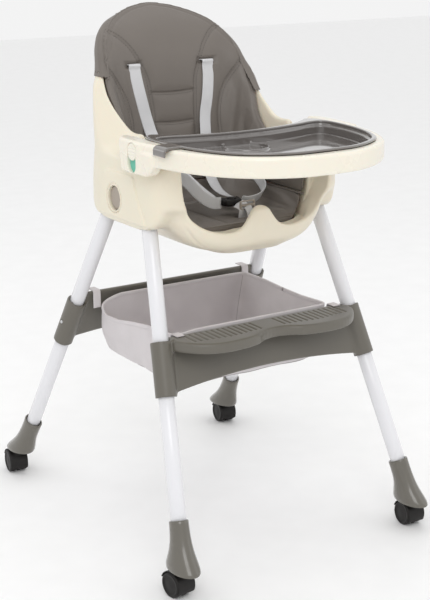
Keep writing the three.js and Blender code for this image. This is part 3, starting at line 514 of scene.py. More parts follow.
def add_field(name, space, field, finish, body, replaces=()):
    """Adds the surface of a distance field as a piece."""
    points, faces = space.skin(field)
    return add_piece(name, points, faces, finish, body, replaces)


def either(a, b, blend=0.0):
    """Joins two shapes, with a fillet."""
    if not blend:
        return np.minimum(a, b)
    h = np.maximum(blend - np.abs(a - b), 0)
    return np.minimum(a, b) - h * h * (0.25 / blend)


def both(a, b, blend=0.0):
    """What two shapes share, with a rounded edge."""
    return -either(-a, -b, blend)


def without(a, b, blend=0.0):
    return both(a, -b, blend)


def levels_at(levels, z):
    """Half width, front and rear of a tub at each height, with the corners between levels eased."""
    table = np.array(levels, float)
    ease = np.linspace(-8, 8, 9)
    z = np.asarray(z, float).ravel()
    out = []
    for k in (1, 2, 3):
        wide = np.interp(z[:, None] + ease, table[:, 0], table[:, k])
        out.append(wide.mean(1).astype(np.float32))
    return out


def tub(space, levels, inset=0.0, power=5):
    """A tub whose level sections lie between an ellipse and a rectangle."""
    half, front, rear = [a[None, None, :] for a in levels_at(levels, space.z)]
    a = half - inset
    b = (rear - front) / 2 - inset
    u = np.abs(space.x) / a
    v = np.abs(space.y - (front + rear) / 2) / b
    k = np.maximum(u**power + v**power, 1e-6) ** (1 / power)
    slope = np.sqrt((u ** (power - 1) / a) ** 2 + (v ** (power - 1) / b) ** 2) * k ** (1 - power)
    d = (k - 1) / np.maximum(slope, 0.5 / np.maximum(a, b))
    bottom = levels[0][0] - space.z
    top = space.z - levels[-1][0]
    return np.maximum(d, np.maximum(bottom, top)).astype(np.float32)


def drawn(corners, steps=6):
    """Outline through corners (u, v, radius), each corner rounded."""
    points = []
    n = len(corners)
    for i, corner in enumerate(corners):
        radius = corner[2] if len(corner) > 2 else 0
        c = np.array(corner[:2], float)
        before, after = np.array(corners[i - 1][:2], float), np.array(corners[(i + 1) % n][:2], float)
        if not radius:
            points.append(c)
            continue
        start = c + (before - c) * min(0.5, radius / np.linalg.norm(before - c))
        end = c + (after - c) * min(0.5, radius / np.linalg.norm(after - c))
        for t in np.linspace(0, 1, steps):
            points.append((1 - t) ** 2 * start + 2 * t * (1 - t) * c + t**2 * end)
    return np.array(points)


def inside(outline, u, v):
    """Distance from the outline in a plane, negative inside. u and v broadcast together."""
    u, v = np.broadcast_arrays(u, v)
    best = np.full(u.shape, 1e9, np.float32)
    turns = np.zeros(u.shape, bool)
    p = np.asarray(outline, np.float32)
    for a, b in zip(p, np.roll(p, -1, axis=0)):
        e = b - a
        wu, wv = u - a[0], v - a[1]
        t = np.clip((wu * e[0] + wv * e[1]) / max(float(e @ e), 1e-9), 0, 1)
        best = np.minimum(best, (wu - e[0] * t) ** 2 + (wv - e[1] * t) ** 2)
        crosses = (a[1] > v) != (b[1] > v)
        if a[1] != b[1]:
            turns ^= crosses & (wu < e[0] * wv / e[1])
    return np.where(turns, -1, 1) * np.sqrt(best)


def side_view(space, outline):
    """Distance from an outline drawn in side view, its points (y, z)."""
    return inside(outline, space.y[0], space.z[0])[None]


def front_view(space, outline):
    """Distance from an outline drawn in front view, its points (x, z)."""
    return inside(outline, space.x[:, 0], space.z[0])[:, None]


def plan_view(space, outline):
    """Distance from an outline drawn from above, its points (x, y)."""
    return inside(outline, space.x[:, :, 0], space.y[:, :, 0])[:, :, None]


def between(value, low, high):
    return np.maximum(low - value, value - high)


def rod(space, a, b, radius):
    """A round rod from a to b."""
    a, b = np.array(a, float), np.array(b, float)
    axis = (b - a) / np.linalg.norm(b - a)
    wx, wy, wz = space.x - a[0], space.y - a[1], space.z - a[2]
    along = wx * axis[0] + wy * axis[1] + wz * axis[2]
    across = np.sqrt(np.maximum(wx**2 + wy**2 + wz**2 - along**2, 0))
    return np.maximum(across - radius, between(along, 0, float(np.linalg.norm(b - a)))).astype(np.float32)


def leg_point(end, sign, z):
    """The middle of a leg at a height."""
    leg = LEGS[end]
    return np.array([sign * (leg["x"] + leg["lean_x"] * z), leg["y"] + leg["lean_y"] * z, z])


def leg_rod(space, end, sign, low, high, radius):
    return rod(space, leg_point(end, sign, low), leg_point(end, sign, high), radius)


def back_outline(half):
    """Front view of everything below a top edge, given by its right half."""
    right = flat_curve(half, 60)
    left = right[-2::-1] * (-1, 1)
    return np.vstack([[(-220, 500), (220, 500), (220, 790)], right, left, [(-220, 790)]])


# ------------------------------------------------------------------ seat shell
def wing_edge(space):
    """Room under the shell's upper edge: level arms, and wings that slope outwards past the ridge."""
    ridge, slope = 165, 1.8
    outline = drawn([(*p, 12) for p in WINGS])
    wings = np.repeat(side_view(space, outline), space.shape[0], axis=0)
    for i, x in enumerate(np.abs(space.x.ravel())):
        if x > ridge:
            wings[i] = inside(outline, space.y[0], space.z[0] + (x - ridge) * slope) / math.hypot(1, slope)
    return either(space.z - ARM_TOP, wings, 14)


def leg_openings(space):
    """The opening above the front wall, which dips on both sides of the crotch post."""
    half = [(0, 627), (15, 625), (27, 612), (44, 596), (70, 591), (107, 599), (134, 616), (150, 640),
            (158, 670), (161, 740)]
    right = flat_curve(half, 50)
    outline = np.vstack([right, right[-1:0:-1] * (-1, 1)])
    return np.maximum(front_view(space, outline), space.y + 110)


def pod_side(inset, low=0, top=734):
    """Side view of a pod, the thick part of the shell that the legs plug into."""
    return drawn([(150 - inset, top - inset), (140 - inset, 640, 20), (96 - inset, 600, 22),
                  (44, 594 + low, 6), (-88, 594 + low, 20), (-118, 606, 16), (-136 + inset, 638, 14),
                  (-166 + inset, 641), (-166 + inset, top - inset)])


def pod_envelope(space, inset=0):
    """Level outline of the pods, which fade into the shell's sides above."""
    return tub(space, [(550, POD_WIDTH, -163, 143), (655, POD_WIDTH, -163, 143),
                       (680, POD_WIDTH - 2.5, -164, 144), (704, SHELL_WIDTH - 0.5, -165, 145),
                       (740, SHELL_WIDTH - 10, -156, 136)], inset)


def bib_outline():
    """Front view of the front wall, which narrows downwards to the crotch post."""
    lower_edge = np.array([(0, 530), (70, 545), (95, 556), (118, 572), (134, 590), (146, 606), (162, 619),
                           (230, 624)])
    return np.vstack([lower_edge, [(230, 1000), (-230, 1000)], lower_edge[:0:-1] * (-1, 1)])


def shell_outside(space):
    """The whole shell as a solid block, before it is hollowed."""
    outer = tub(space, TUB_OUTER)
    envelope = pod_envelope(space)
    solid = either(outer, both(envelope, side_view(space, pod_side(0)), 12), 9)
    panel = side_view(space, drawn([(44, 690, 8), (-58, 690, 8), (-103, 606, 8), (60, 606, 12)]))
    raised = both(both(envelope - PANEL_RAISE, panel, 2), 150 - np.abs(space.x), 2)
    solid = either(solid, raised, 1.2)
    undercut = np.maximum(-front_view(space, bib_outline()), space.y - BIB_REAR)
    solid = without(solid, undercut, 4)
    top = front_view(space, back_outline(SHELL_TOP))
    return both(both(solid, wing_edge(space), 11), top, 10)


def strap_slots(space, front, rear):
    wide = STRAP_SLOT["width"] / 2 - np.abs(np.abs(space.x) - STRAP_SLOT["x"])
    tall = STRAP_SLOT["height"] / 2 - np.abs(space.z - STRAP_SLOT["z"])
    return np.maximum(-np.minimum(wide, tall), between(space.y, front, rear))


def room_behind_panel(space):
    """What thins the front wall from behind, above the seat."""
    low = 592
    room = tub(space, [(low, 124, -156, 60), (630, 143, -157, 60), (700, 152, -157, 60),
                       (740, 154, -157, 60)])
    return np.maximum(room, -space.z + low)


def room_under_seat(space):
    """The hollow underside of the seat."""
    top = 574
    room = tub(space, [(520, 50, -128, 60), (547, 56, -134, 64), (551, 82, -143, 78),
                       (558, 104, -151, 88), (568, 123, -157, 95), (top, 130, -159, 98)])
    return np.maximum(np.maximum(room, between(space.y, -128, 110)), space.z - top)


def crotch_bulge(space):
    """A soft swelling where the crotch post meets the front wall."""
    middle_y, middle_z = -158, 606
    from_middle = np.sqrt((space.x / 15) ** 2 + ((space.y - middle_y) / 10) ** 2
                          + ((space.z - middle_z) / 24) ** 2)
    return (from_middle - 1) * 9


def hollow_sides(space):
    """The hollows of the pods, open below, and of the armrests above them."""
    x = np.abs(space.x)
    inner, front = 161, -104
    under_tub = tub(space, TUB_OUTER[:5], -1)
    pod = np.maximum(side_view(space, pod_side(6, -60, 697)), between(x, inner, 200))
    pod = np.maximum(np.maximum(pod, front - space.y), pod_envelope(space, 4.5))
    arm = np.maximum(np.maximum(between(x, inner, 192), between(space.y, front, 108)),
                     between(space.z, 640, ARM_TOP - 6))
    arm = np.maximum(arm, tub(space, TUB_OUTER, 5.5))
    return either(without(pod, under_tub), arm)


def cut_button_well(space, shell, sign):
    """Sinks one release button's well and its stem's hole, with a groove round the well."""
    y, z, r = BUTTON["y"], BUTTON["z"], BUTTON["r"]
    out = (sign * 212, y, z)
    shell = without(shell, rod(space, (sign * 189, y, z), out, r + 0.9), 1.5)
    shell = without(shell, rod(space, (sign * 168, y, z), out, 9))
    ring = np.abs(np.sqrt((space.y - y) ** 2 + (space.z - z) ** 2) - r - 5) - 1.1
    groove = np.maximum(ring, between(np.abs(space.x), 204.4, 215))
    return without(shell, groove + (space.x * sign < 0) * FAR, 1)


def make_seat_shell():
    space = Space((-210, -174, 540), (210, 262, 962), 2.0)
    shell = without(shell_outside(space), tub(space, TUB_INNER), 7)
    shell = without(shell, room_behind_panel(space), 5)
    shell = without(shell, leg_openings(space), 6)
    shell = either(shell, crotch_bulge(space), 12)
    hollow = hollow_sides(space)
    for sign in SIDES.values():
        other_side = np.where(space.x * sign > 0, 0, FAR).astype(np.float32)
        keep = rod(space, (sign * 180, BUTTON["y"], BUTTON["z"]),
                   (sign * 204, BUTTON["y"], BUTTON["z"]), BUTTON["r"] + 4)
        for end in ENDS:
            keep = either(keep, leg_rod(space, end, sign, 560, 690, TUBE_R + 4))
        shell = without(shell, np.maximum(without(hollow, keep), other_side), 2)
        for end in ENDS:
            shell = without(shell, leg_rod(space, end, sign, 540, LEG_TOP + 2, TUBE_R + 0.8), 3)
        shell = cut_button_well(space, shell, sign)
    shell = without(shell, strap_slots(space, 100, 250), 2)
    shell = without(shell, room_under_seat(space), 4)
    add_field("seat_shell_skin", space, shell, "shell_plastic", "root", "seat_shell")


def make_release_buttons():
    for side, sign in SIDES.items():
        edge, face, stem = 2.2, 203.5, 5.5
        r = BUTTON["r"]
        profile = [(171, 0.1), (171, stem), (194, stem), (196.5, r - 1), (197.5, r), (face - edge, r),
                   (face - 0.5, r - edge * 0.6), (face, r - 2.4 * edge), (203.1, r - 3 * edge),
                   (202.7, r - 5 * edge), (202.6, 0.1)]
        points, faces = skin(lathe(profile, 64))
        points, faces = outward(points * (sign, 1, 1) + (0, BUTTON["y"], BUTTON["z"]), faces)
        add_piece(f"release_button_{side}_cap", points, faces, "button_plastic", f"leg_release_{side}",
                  f"leg_release_button_{side}")
        turns, steps, coil_r, wire_r = 4, 160, 7.4, 0.55
        angle = np.linspace(0, 2 * math.pi * turns, steps)
        coil = np.stack([sign * np.linspace(189.9, 195.6, steps), BUTTON["y"] + coil_r * np.cos(angle),
                         BUTTON["z"] + coil_r * np.sin(angle)], axis=1)
        points, faces = skin(sweep(coil, circle(wire_r, 8), (1, 0.1, 0)))
        add_piece(f"release_spring_{side}_coil", points, faces, "steel", "root",
                  f"leg_release_spring_{side}")


# ------------------------------------------------------------------ upholstery
def apply_modifiers(piece):
    mesh = bpy.data.meshes.new_from_object(piece.evaluated_get(bpy.context.evaluated_depsgraph_get()))
    piece.modifiers.clear()
    old = piece.data
    piece.data = mesh
    bpy.data.meshes.remove(old)


def inflate(piece, held, most_mm, free):
    """Blows the padding up by cloth simulation. held pins the sewn lines, free says where it may move."""
    rest = coordinates(piece)
    group = piece.vertex_groups.new(name="sewn")
    for index in np.nonzero(held > 0.02)[0]:
        group.add([int(index)], float(held[index]), "REPLACE")
    settings = piece.modifiers.new("padding", "CLOTH").settings
    settings.use_pressure = True
    settings.uniform_pressure_force = 4
    settings.effector_weights.gravity = 0
    settings.vertex_group_mass = "sewn"
    settings.quality = 5
    for number in range(1, CLOTH_FRAMES + 1):
        bpy.context.scene.frame_set(number)
    apply_modifiers(piece)
    moved = coordinates(piece) - rest
    length = np.linalg.norm(moved, axis=1)
    most = most_mm * np.clip(free, 0, 1)
    scale = np.where(length > 1e-6, np.minimum(length, most) / np.maximum(length, 1e-6), 0)
    set_coordinates(piece, rest + moved * scale[:, None])
    bpy.context.scene.frame_set(1)


def coordinates(piece):
    co = np.zeros(len(piece.data.vertices) * 3)
    piece.data.vertices.foreach_get("co", co)
    return co.reshape(-1, 3) / MM


def normals(piece):
    n = np.zeros(len(piece.data.vertices) * 3)
    piece.data.vertices.foreach_get("normal", n)
    return n.reshape(-1, 3)


def set_coordinates(piece, points):
    piece.data.vertices.foreach_set("co", (points * MM).ravel())
    piece.data.update()


def subdivide(piece):
    modifier = piece.modifiers.new("smooth", "SUBSURF")
    modifier.levels = 1
    modifier.render_levels = 1
    apply_modifiers(piece)
    piece.data.shade_smooth()


def line_distance(points, line):
    """Distance of each point from a polyline, in as many dimensions as both have."""
    best = np.full(len(points), 1e9)
    for a, b in zip(line[:-1], line[1:]):
        e = b - a
        w = points - a
        t = np.clip((w @ e) / max(float(e @ e), 1e-9), 0, 1)
        best = np.minimum(best, ((w - t[:, None] * e) ** 2).sum(1))
    return np.sqrt(best)


def seam_lines():
    """Front views of the sewn seams of the back, both sides."""
    lines = []
    for sign in SIDES.values():
        for seam in (HEAD_SEAM, BOLSTER_SEAM):
            lines.append(smooth_line([(sign * x, 0, z) for x, z in seam], 60)[:, [0, 2]])
    for height in CROSS_SEAMS:
        reach = np.interp(height, [p[1] for p in HEAD_SEAM[::-1]], [p[0] for p in HEAD_SEAM[::-1]])
        bow = 3
        across = np.linspace(-1, 1, 24)
        lines.append(np.stack([across * reach, height - bow * (1 - across**2)], axis=1))
    return lines


def liner_edge(sign):
    """The liner's piped edge, from the arm up to the middle of the top."""
    side = [(y, z) for y, z in LINER_SIDE if 690 <= z <= 845]
    side = [(side[0][0], PAD_SEAM + 8), *side]
    half, _, _ = levels_at(TUB_INNER, [z for _, z in side])
    lower = [(sign * (h - 5), y + 1, z - 1) for (y, z), h in zip(side, half)]
    upper = []
    for x, z in LINER_TOP:
        if z < 850:
            continue
        x_in, z_in = max(x - 4, 0), z - 4
        _, front, rear = [float(a[0]) for a in levels_at(TUB_INNER, [z])]
        middle, reach = (front + rear) / 2, (rear - front) / 2 - 13
        bend = max(1 - (x_in / 158) ** 5, 0.05) ** 0.2
        upper.append((sign * x_in, middle + reach * bend, z_in))
    return even_line(lower + upper, 4)


def on_surface(tree, line, sink):
    """Moves a line's points to the nearest points of a surface, sunk into it a little."""
    out = []
    for point in line:
        place, normal, _, _ = tree.find_nearest(Vector(point) * MM)
        out.append(np.array(place) / MM - np.array(normal) * sink)
    return np.array(out)


def surface_tree(piece):
    points = (coordinates(piece) * MM).tolist()
    faces = [tuple(p.vertices) for p in piece.data.polygons]
    return BVHTree.FromPolygons([Vector(p) for p in points], faces)


def front_hits(tree, flat_line):
    """Where a line drawn in front view meets the cushion's front."""
    hits = []
    for x, z in flat_line:
        place, normal, _, _ = tree.ray_cast(Vector((x, -60, z)) * MM, Vector((0, 1, 0)))
        if place is not None and normal.y < 0:
            hits.append(np.array(place) / MM)
    return np.array(hits)


def stitches(name, lines, body, length=3.4, gap=1.9, radius=0.45, lift=0.25):
    """Short threads laid end to end along sewn lines."""
    points, faces = [], []
    step = 0.8
    pitch = int(round((length + gap) / step))
    run = int(round(length / step))
    for line in lines:
        if len(line) < 3:
            continue
        dense = even_line(line, step)
        for start in range(0, len(dense) - run - 1, pitch):
            part = dense[start:start + run + 1].copy()
            part[:, 1] -= lift
            p, f = skin(sweep(part, circle(radius, 6), (0.3, 0.2, 1)))
            offset = sum(len(q) for q in points)
            points.append(p)
            faces.extend([tuple(i + offset for i in face) for face in f])
    add_piece(name, np.vstack(points), faces, "upholstery", body, material=THREAD)


def liner_field(space, low, high):
    """The liner between two heights: a wall along the tub's sides and back over a seat, open in front."""
    padding = 13.5
    room = [(z, half, -190, rear) for z, half, _, rear in TUB_INNER]
    room[0] = (560, *room[0][1:])
    room[-1] = (1000, *room[-1][1:])
    room = both(tub(space, room, padding), SEAT_TOP - space.z, 16)
    liner = both(both(tub(space, TUB_INNER, 1.2), -room, 6), -127 - space.y, 9)
    return both(liner, between(space.z, low, high), 5)


def make_back_cushion():
    """The upper pad of the liner. Gives back its surface, for the straps that lie on it."""
    space = Space((-176, -136, PAD_SEAM - 6), (176, 280, 976), 5.0)
    liner = liner_field(space, PAD_SEAM + 0.5, 1000)
    side = side_view(space, drawn([(*p, 10) for p in LINER_SIDE]))
    top = front_view(space, back_outline(LINER_TOP))
    liner = both(both(liner, side, 11), top, 9)
    piece = add_field("back_cushion_pad", space, liner, "upholstery", "root", "back_cushion")
    at = coordinates(piece)
    facing = normals(piece)
    lines = seam_lines()
    seam = np.min([line_distance(at[:, [0, 2]], line) for line in lines], axis=0)
    inwards = -facing[:, 0] * np.sign(at[:, 0])
    front_side = ((facing[:, 1] < 0.1) & (inwards > -0.2) | (inwards > 0.4)).astype(float)
    held = np.where(front_side > 0, np.exp(-((seam / 4.5) ** 2)), 1.0)
    inflate(piece, held, 7, front_side * np.clip(seam / 8, 0.05, 1))
    subdivide(piece)
    edges = {side_name: liner_edge(sign) for side_name, sign in SIDES.items()}
    crease_back(piece, lines, edges)
    tree = surface_tree(piece)
    trim_back(tree, lines, edges)
    return tree


def crease_back(piece, lines, edges):
    """Sinks the seams, the edges' hems, the left edge's pleats and the strap slots into the pad."""
    at = coordinates(piece)
    facing = normals(piece)
    seam = np.min([line_distance(at[:, [0, 2]], line) for line in lines], axis=0)
    front = np.clip(-facing[:, 1] * 2.2, 0, 1)
    depth = front * (1.9 * np.exp(-((seam / 2.6) ** 2)) + 1.7 * np.exp(-((seam / 10) ** 2)))
    away = np.min([line_distance(at, edge) for edge in edges.values()], axis=0)
    depth += front * 1.5 * np.exp(-(((away - 9) / 2.2) ** 2))
    pleated = np.clip((at[:, 2] - 832) / 12, 0, 1) * np.clip((918 - at[:, 2]) / 20, 0, 1) * (at[:, 0] < -110)
    pleats = np.exp(-(((away - 5) / 1.6) ** 2)) + np.exp(-(((away - 14) / 1.8) ** 2))
    depth += front * pleated * 1.6 * pleats
    slot_x = np.abs(np.abs(at[:, 0]) - STRAP_SLOT["x"]) / (STRAP_SLOT["width"] / 2 + 2)
    slot_z = np.abs(at[:, 2] - STRAP_SLOT["z"]) / (STRAP_SLOT["height"] / 2 + 1.5)
    slot = np.maximum(slot_x, slot_z)
    depth += front * 6 * np.clip(1.5 - slot, 0, 1)
    set_coordinates(piece, at - facing * depth[:, None])


def trim_back(tree, lines, edges):
    """Stitches beside the seams, piping on the edges and a lip round each strap slot."""
    threads = []
    for line in lines:
        direction = np.gradient(line, axis=0)
        direction /= np.linalg.norm(direction, axis=1)[:, None]
        for offset in (-3.4, 3.4):
            beside = line + direction[:, ::-1] * (1, -1) * offset
            threads.append(front_hits(tree, beside))
    stitches("back_cushion_stitches", threads, "root")
    for side_name, edge in edges.items():
        cord_piece(f"back_cushion_piping_{side_name}", on_surface(tree, edge, 0.6), 1.9, "upholstery",
                   "root")
    for side_name, sign in SIDES.items():
        ring = drawn([(-16, -5.5, 5), (16, -5.5, 5), (16, 5.5, 5), (-16, 5.5, 5)])
        ring = np.vstack([ring, ring[:1]])
        hits = front_hits(tree, ring + (sign * STRAP_SLOT["x"], STRAP_SLOT["z"]))
        cord_piece(f"strap_slot_lip_{side_name}", hits + (0, -0.3, 0), 0.8, "upholstery", "root")


def make_cover_hood():
    """The part of the cover that is pulled over the back of the shell."""
    space = Space((-196, 60, HOOD_HEM - 52), (196, 282, 972), 1.6)
    shell = shell_outside(space)
    x = np.abs(space.x)
    inner = tub(space, TUB_INNER, 10)
    cover_out = 2.1 + 0.7 * np.clip((space.z - HOOD_HEM) / 40, 0, 1)
    hem_drop = 42 * np.clip((space.x - 60) / 90, 0, 1)
    hem = space.z - (HOOD_HEM - hem_drop) - 4 * np.cos(np.minimum(x / 160, 1) * math.pi)
    hood = both(without(shell - cover_out, shell - 0.5), -inner, 1)
    hood = both(hood, -hem, 1.5)
    cover = front_view(space, back_outline([(a + 4, b + (3 if a else 2)) for a, b in SHELL_TOP]))
    hood = both(hood, cover, 1)
    ripple = np.sin(space.x * 0.16 + np.sin(space.z * 0.05) * 2) * np.sin(space.z * 0.09 + 1.3)
    hood = hood + ripple * 0.25
    hood = without(hood, strap_slots(space, 90, 280), 1)
    piece = add_field("cover_hood", space, hood, "upholstery", "root")


def make_seat_cushion():
    """The lower pad of the liner, a bowl, with two sewn channels, a piped front and a piped upper seam."""
    space = Space((-160, -138, 574), (160, 122, PAD_SEAM + 6), 5.0)
    liner = liner_field(space, 560, PAD_SEAM - 0.5)
    piece = add_field("seat_cushion_pad", space, liner, "upholstery", "root", "seat_cushion")
    at = coordinates(piece)
    facing = normals(piece)
    inwards = -facing[:, 0] * np.sign(at[:, 0])
    top = ((facing[:, 2] > 0.1) | (inwards > 0.4)).astype(float)
    channels = [np.array([(x, -112.0), (x * 1.05, 62.0)]) for x in (-42, 42)]
    seam = np.min([line_distance(at[:, :2], line) for line in channels], axis=0)
    held = np.where(top > 0, np.exp(-((seam / 4) ** 2)), 1.0)
    inflate(piece, held, 5, top * np.clip(seam / 8, 0.05, 1))
    subdivide(piece)
    at = coordinates(piece)
    facing = normals(piece)
    seam = np.min([line_distance(at[:, :2], line) for line in channels], axis=0)
    upwards = np.clip(facing[:, 2] * 2, 0, 1)
    slot = np.maximum(np.abs(at[:, 0] - CROTCH["x"]) / 16, np.abs(at[:, 1] - CROTCH["y"]) / 5)
    depth = upwards * (2.2 * np.exp(-((seam / 3) ** 2)) + 4 * np.clip(1.5 - slot, 0, 1))
    set_coordinates(piece, at - facing * depth[:, None])
    tree = surface_tree(piece)
    half = [(134, 626), (131, 612), (116, 601), (60, 598), (0, 598)]
    right = [(x, -125, z) for x, z in half]
    front = even_line(right + [(-x, y, z) for x, y, z in right[-2::-1]], 4)
    cord_piece("seat_cushion_piping", on_surface(tree, front, 0.5), 1.8, "upholstery", "root")
    half = [(131, -112), (132, -60), (131, 20), (127, 58), (113, 86), (80, 99), (0, 102)]
    right = [(x, y, PAD_SEAM) for x, y in half]
    seam_line = even_line(right + [(-x, y, z) for x, y, z in right[-2::-1]], 4)
    cord_piece("liner_seam_piping", seam_line, 2.2, "upholstery", "root")


# ------------------------------------------------------------------ harness
def make_straps(back):
    """The five straps. back is the surface of the back pad, which the shoulder straps lie on."""
    over_pad = [(82, 849), (80, 825), (74, 790), (66, 755)]
    shoulder_end = {
        "left": [(60, 112, 724), (54, 82, 696), (47, 30, 664), (40, -20, 640), (33, -50, 627)],
        "right": [(60, 112, 722), (55, 100, 686), (50, 84, 650), (44, 52, 626), (35, 8, 619), (26, -40, 622)],
    }
    waist = {
        "left": [(122, 24, 652), (108, -5, 671), (92, -28, 675), (76, -42, 660), (60, -52, 640),
                 (44, -60, 627), (34, -64, 623), (22, -66, 622.5)],
        "right": [(112, 20, 650), (108, 0, 644), (102, -25, 633), (88, -42, 625), (66, -54, 620),
                  (38, -62, 619), (22, -65, 622.5)],
    }
    waist_lie = {"left": (0.1, 0.6, 1), "right": (0.3, 0.5, 1)}
    for side, sign in SIDES.items():
        hits = front_hits(back, [(sign * x, z) for x, z in over_pad])
        lying = [(x, y - 1.2, z) for x, y, z in hits]
        top = [(sign * STRAP_SLOT["x"], y, STRAP_SLOT["z"]) for y in (178, 150, 138)]
        end = [(sign * x, y, z) for x, y, z in shoulder_end[side]]
        strap(f"shoulder_webbing_{side}", top + lying + end, (1, 0, 0), "root", f"shoulder_strap_{side}")
        route = [(sign * x, y, z) for x, y, z in waist[side]]
        strap(f"waist_webbing_{side}", route, waist_lie[side], "root", f"waist_strap_{side}", width=22)
    x, y = CROTCH["x"], CROTCH["y"]
    strap("crotch_webbing", [(x, y, 588), (x, y - 2, 604), (x, y - 3, 613), (x - 4, y + 4, 619),
                             (x - 8, y + 11, 621.5)], (1, 0, 0), "root", "crotch_strap")
    tail = [(x + 4, y - 4.5, 618), (x + 6, y - 8, 612), (x + 8, y - 9, 602), (x + 9, y - 7, 599.5)]
    strap("strap_tail", tail, (1, 0, 0), "root", width=16)


def make_buckle():
    """The buckle's case, with a groove round its waist, and its round press button."""
    button_y = -68
    space = Space((-30, -86, 611), (30, -46, 634), 0.8)
    outline = drawn([(-17, -81, 6), (17, -81, 6), (25, -52, 8), (-25, -52, 8)])
    body = both(plan_view(space, outline), between(space.z, 616, 629), 6)
    waistline = np.abs(np.abs(space.x) - 17) - 0.8
    body = without(body, np.maximum(waistline, 627.5 - space.z), 0.8)
    body = without(body, np.sqrt(space.x**2 + (space.y - button_y) ** 2) - 8.6, 1.2)
    add_field("buckle_case", space, body, "black_plastic", "root", "harness_buckle")
    profile = [(628.0, 0.1), (628.0, 7.8), (630.2, 7.9), (630.9, 7.2), (631, 5.5), (630.5, 2.5), (630.4, 0.1)]
    rings = lathe(profile, 48)[:, :, [2, 1, 0]] + (0, button_y, 0)
    points, faces = skin(rings)
    add_piece("buckle_press", points, faces, "black_plastic", "buckle_button", "buckle_release_button")


def make_slider():
    """The ladder bar that sets the crotch strap's length."""
    place = (18, -93.5, 619)
    half_width, half_thick, half_height = 17, 2.2, 9
    low = np.array(place) - (20, 6, 12)
    space = Space(low, np.array(place) + (20, 6, 12), 0.8)
    x, y, z = np.abs(space.x - place[0]), np.abs(space.y - place[1]), np.abs(space.z - place[2])
    plate = both(both(x - half_width, z - half_height, 4), y - half_thick, 2)
    windows = np.maximum(x - 13.5, np.abs(z - 4.4) - 2.2)
    add_field("crotch_slider", space, without(plate, windows, 1.2), "button_plastic", "root")


# ------------------------------------------------------------------ tray, locks and insert
def mirrored(right):
    return np.vstack([right, right[-2:0:-1] * (-1, 1)])


def tray_plan():
    edge = flat_curve([(0, -372), (60, -366), (118, -341), (165, -300), (198, -240), (216, -170),
                       (222, -100), (222, -60), (219, -42), (209, -32), (190, -31)], 70)
    belly = flat_curve([(184, -36), (181, -72), (160, -92), (120, -108), (70, -119), (0, -122)], 40)
    return mirrored(np.vstack([edge, belly]))


INSERT_FRONT = [(0, -352), (58, -349), (104, -332), (145, -302), (172, -258), (189, -200), (195, -140)]


def insert_plan():
    """Plan of the insert's rim, with an ear at each rear corner."""
    ears = [(193, -98), (184, -70), (169, -62), (150, -74), (122, -92), (84, -104), (45, -111), (0, -113)]
    return mirrored(flat_curve(INSERT_FRONT + ears, 90))


def dish_plan():
    """Plan of the insert's dish, which has no ears."""
    rear = [(192, -106), (176, -90), (150, -90), (122, -98), (84, -106), (45, -112), (0, -114)]
    return mirrored(flat_curve(INSERT_FRONT + rear, 90))


def stadium(space, low, high, half):
    """Upright slot with round ends, in side view."""
    middle = np.clip(space.z, low + half, high - half)
    return np.sqrt((space.y - LOCK_SLOT["y"]) ** 2 + (space.z - middle) ** 2) - half


def make_tray():
    """The cream tray: a plate with room for the insert, and a latch housing on each side."""
    space = Space((-228, -378, 694), (228, -24, 763), 1.5)
    plan = plan_view(space, tray_plan())
    tray = both(plan, between(space.z, TRAY_BOTTOM, TRAY_TOP), 7)
    x = np.abs(space.x)
    side_land = both(plan, np.maximum(between(space.z, 740, TRAY_TOP + 3), 199 - x), 5)
    tray = either(tray, both(side_land, -158 - space.y, 3), 3)
    underside = np.maximum(plan + 5.5, space.z - TRAY_FLOOR + 4)
    insert_room = np.maximum(plan_view(space, dish_plan()) + 4.6, TRAY_FLOOR - space.z)
    tray = without(without(tray, underside, 3), insert_room, 5)
    rear, front, low = LATCH["rear"], LATCH["front"], LATCH["bottom"]
    block = side_view(space, drawn([(rear - 8, 744), (rear - 8, low, 10), (front + 8, low, 18),
                                    (front - 8, 724, 8), (front - 8, 744)]))
    block = both(block, between(x, 199.5, LATCH["x"] + 1), 7)
    tray = either(tray, block, 5)
    frame_front, frame_rear = LOCK_SLOT["y"] - 30, LOCK_SLOT["y"] + 26
    raised = side_view(space, drawn([(frame_rear, TRAY_TOP, 12), (frame_rear, low + 1, 10),
                                     (frame_front, low + 1, 18), (frame_front, TRAY_TOP, 12)]))
    tray = either(tray, both(raised, between(x, 210, LATCH["x"] + 1.2), 3), 2)
    slot = stadium(space, LOCK_SLOT["bottom"], LOCK_SLOT["top"], LOCK_SLOT["half"])
    slot = np.maximum(slot, LATCH["x"] - LOCK_SLOT["depth"] - x)
    tray = without(tray, slot, 1.6)
    add_field("tray_skin", space, tray, "tray_plastic", "tray", "tray")


def make_tray_locks():
    """On each side, a slider with three finger grooves, and the flag that it covers."""
    for side, sign in SIDES.items():
        near = LATCH["x"] - LOCK_SLOT["depth"]
        span = sorted((sign * (near - 2), sign * (near + 14)))
        middle = LOCK_SLOT["y"]
        space = Space((span[0], middle - 17, 700), (span[1], middle + 17, 758), 0.8)
        x = space.x * sign
        room = LOCK_SLOT["half"] - 0.3
        low, high = LOCK_SLOT["bottom"] + 0.3, LOCK_SLOT["top"] - 0.3
        flag = both(stadium(space, low, high, room), between(x, near + 0.3, near + 1.8), 0.8)
        add_field(f"lock_flag_{side}_plate", space, flag, "flag_plastic", "tray", f"tray_lock_flag_{side}")
        slider = both(stadium(space, low + 21, high, room), between(x, near + 2.1, LATCH["x"] + 1.5), 2.4)
        for z in (733, 739, 745):
            slider = without(slider, np.sqrt((x - LATCH["x"] - 2.2) ** 2 + (space.z - z) ** 2) - 1.5, 0.8)
        add_field(f"lock_slider_{side}_cap", space, slider, "tray_plastic", f"tray_lock_{side}",
                  f"tray_lock_slider_{side}")


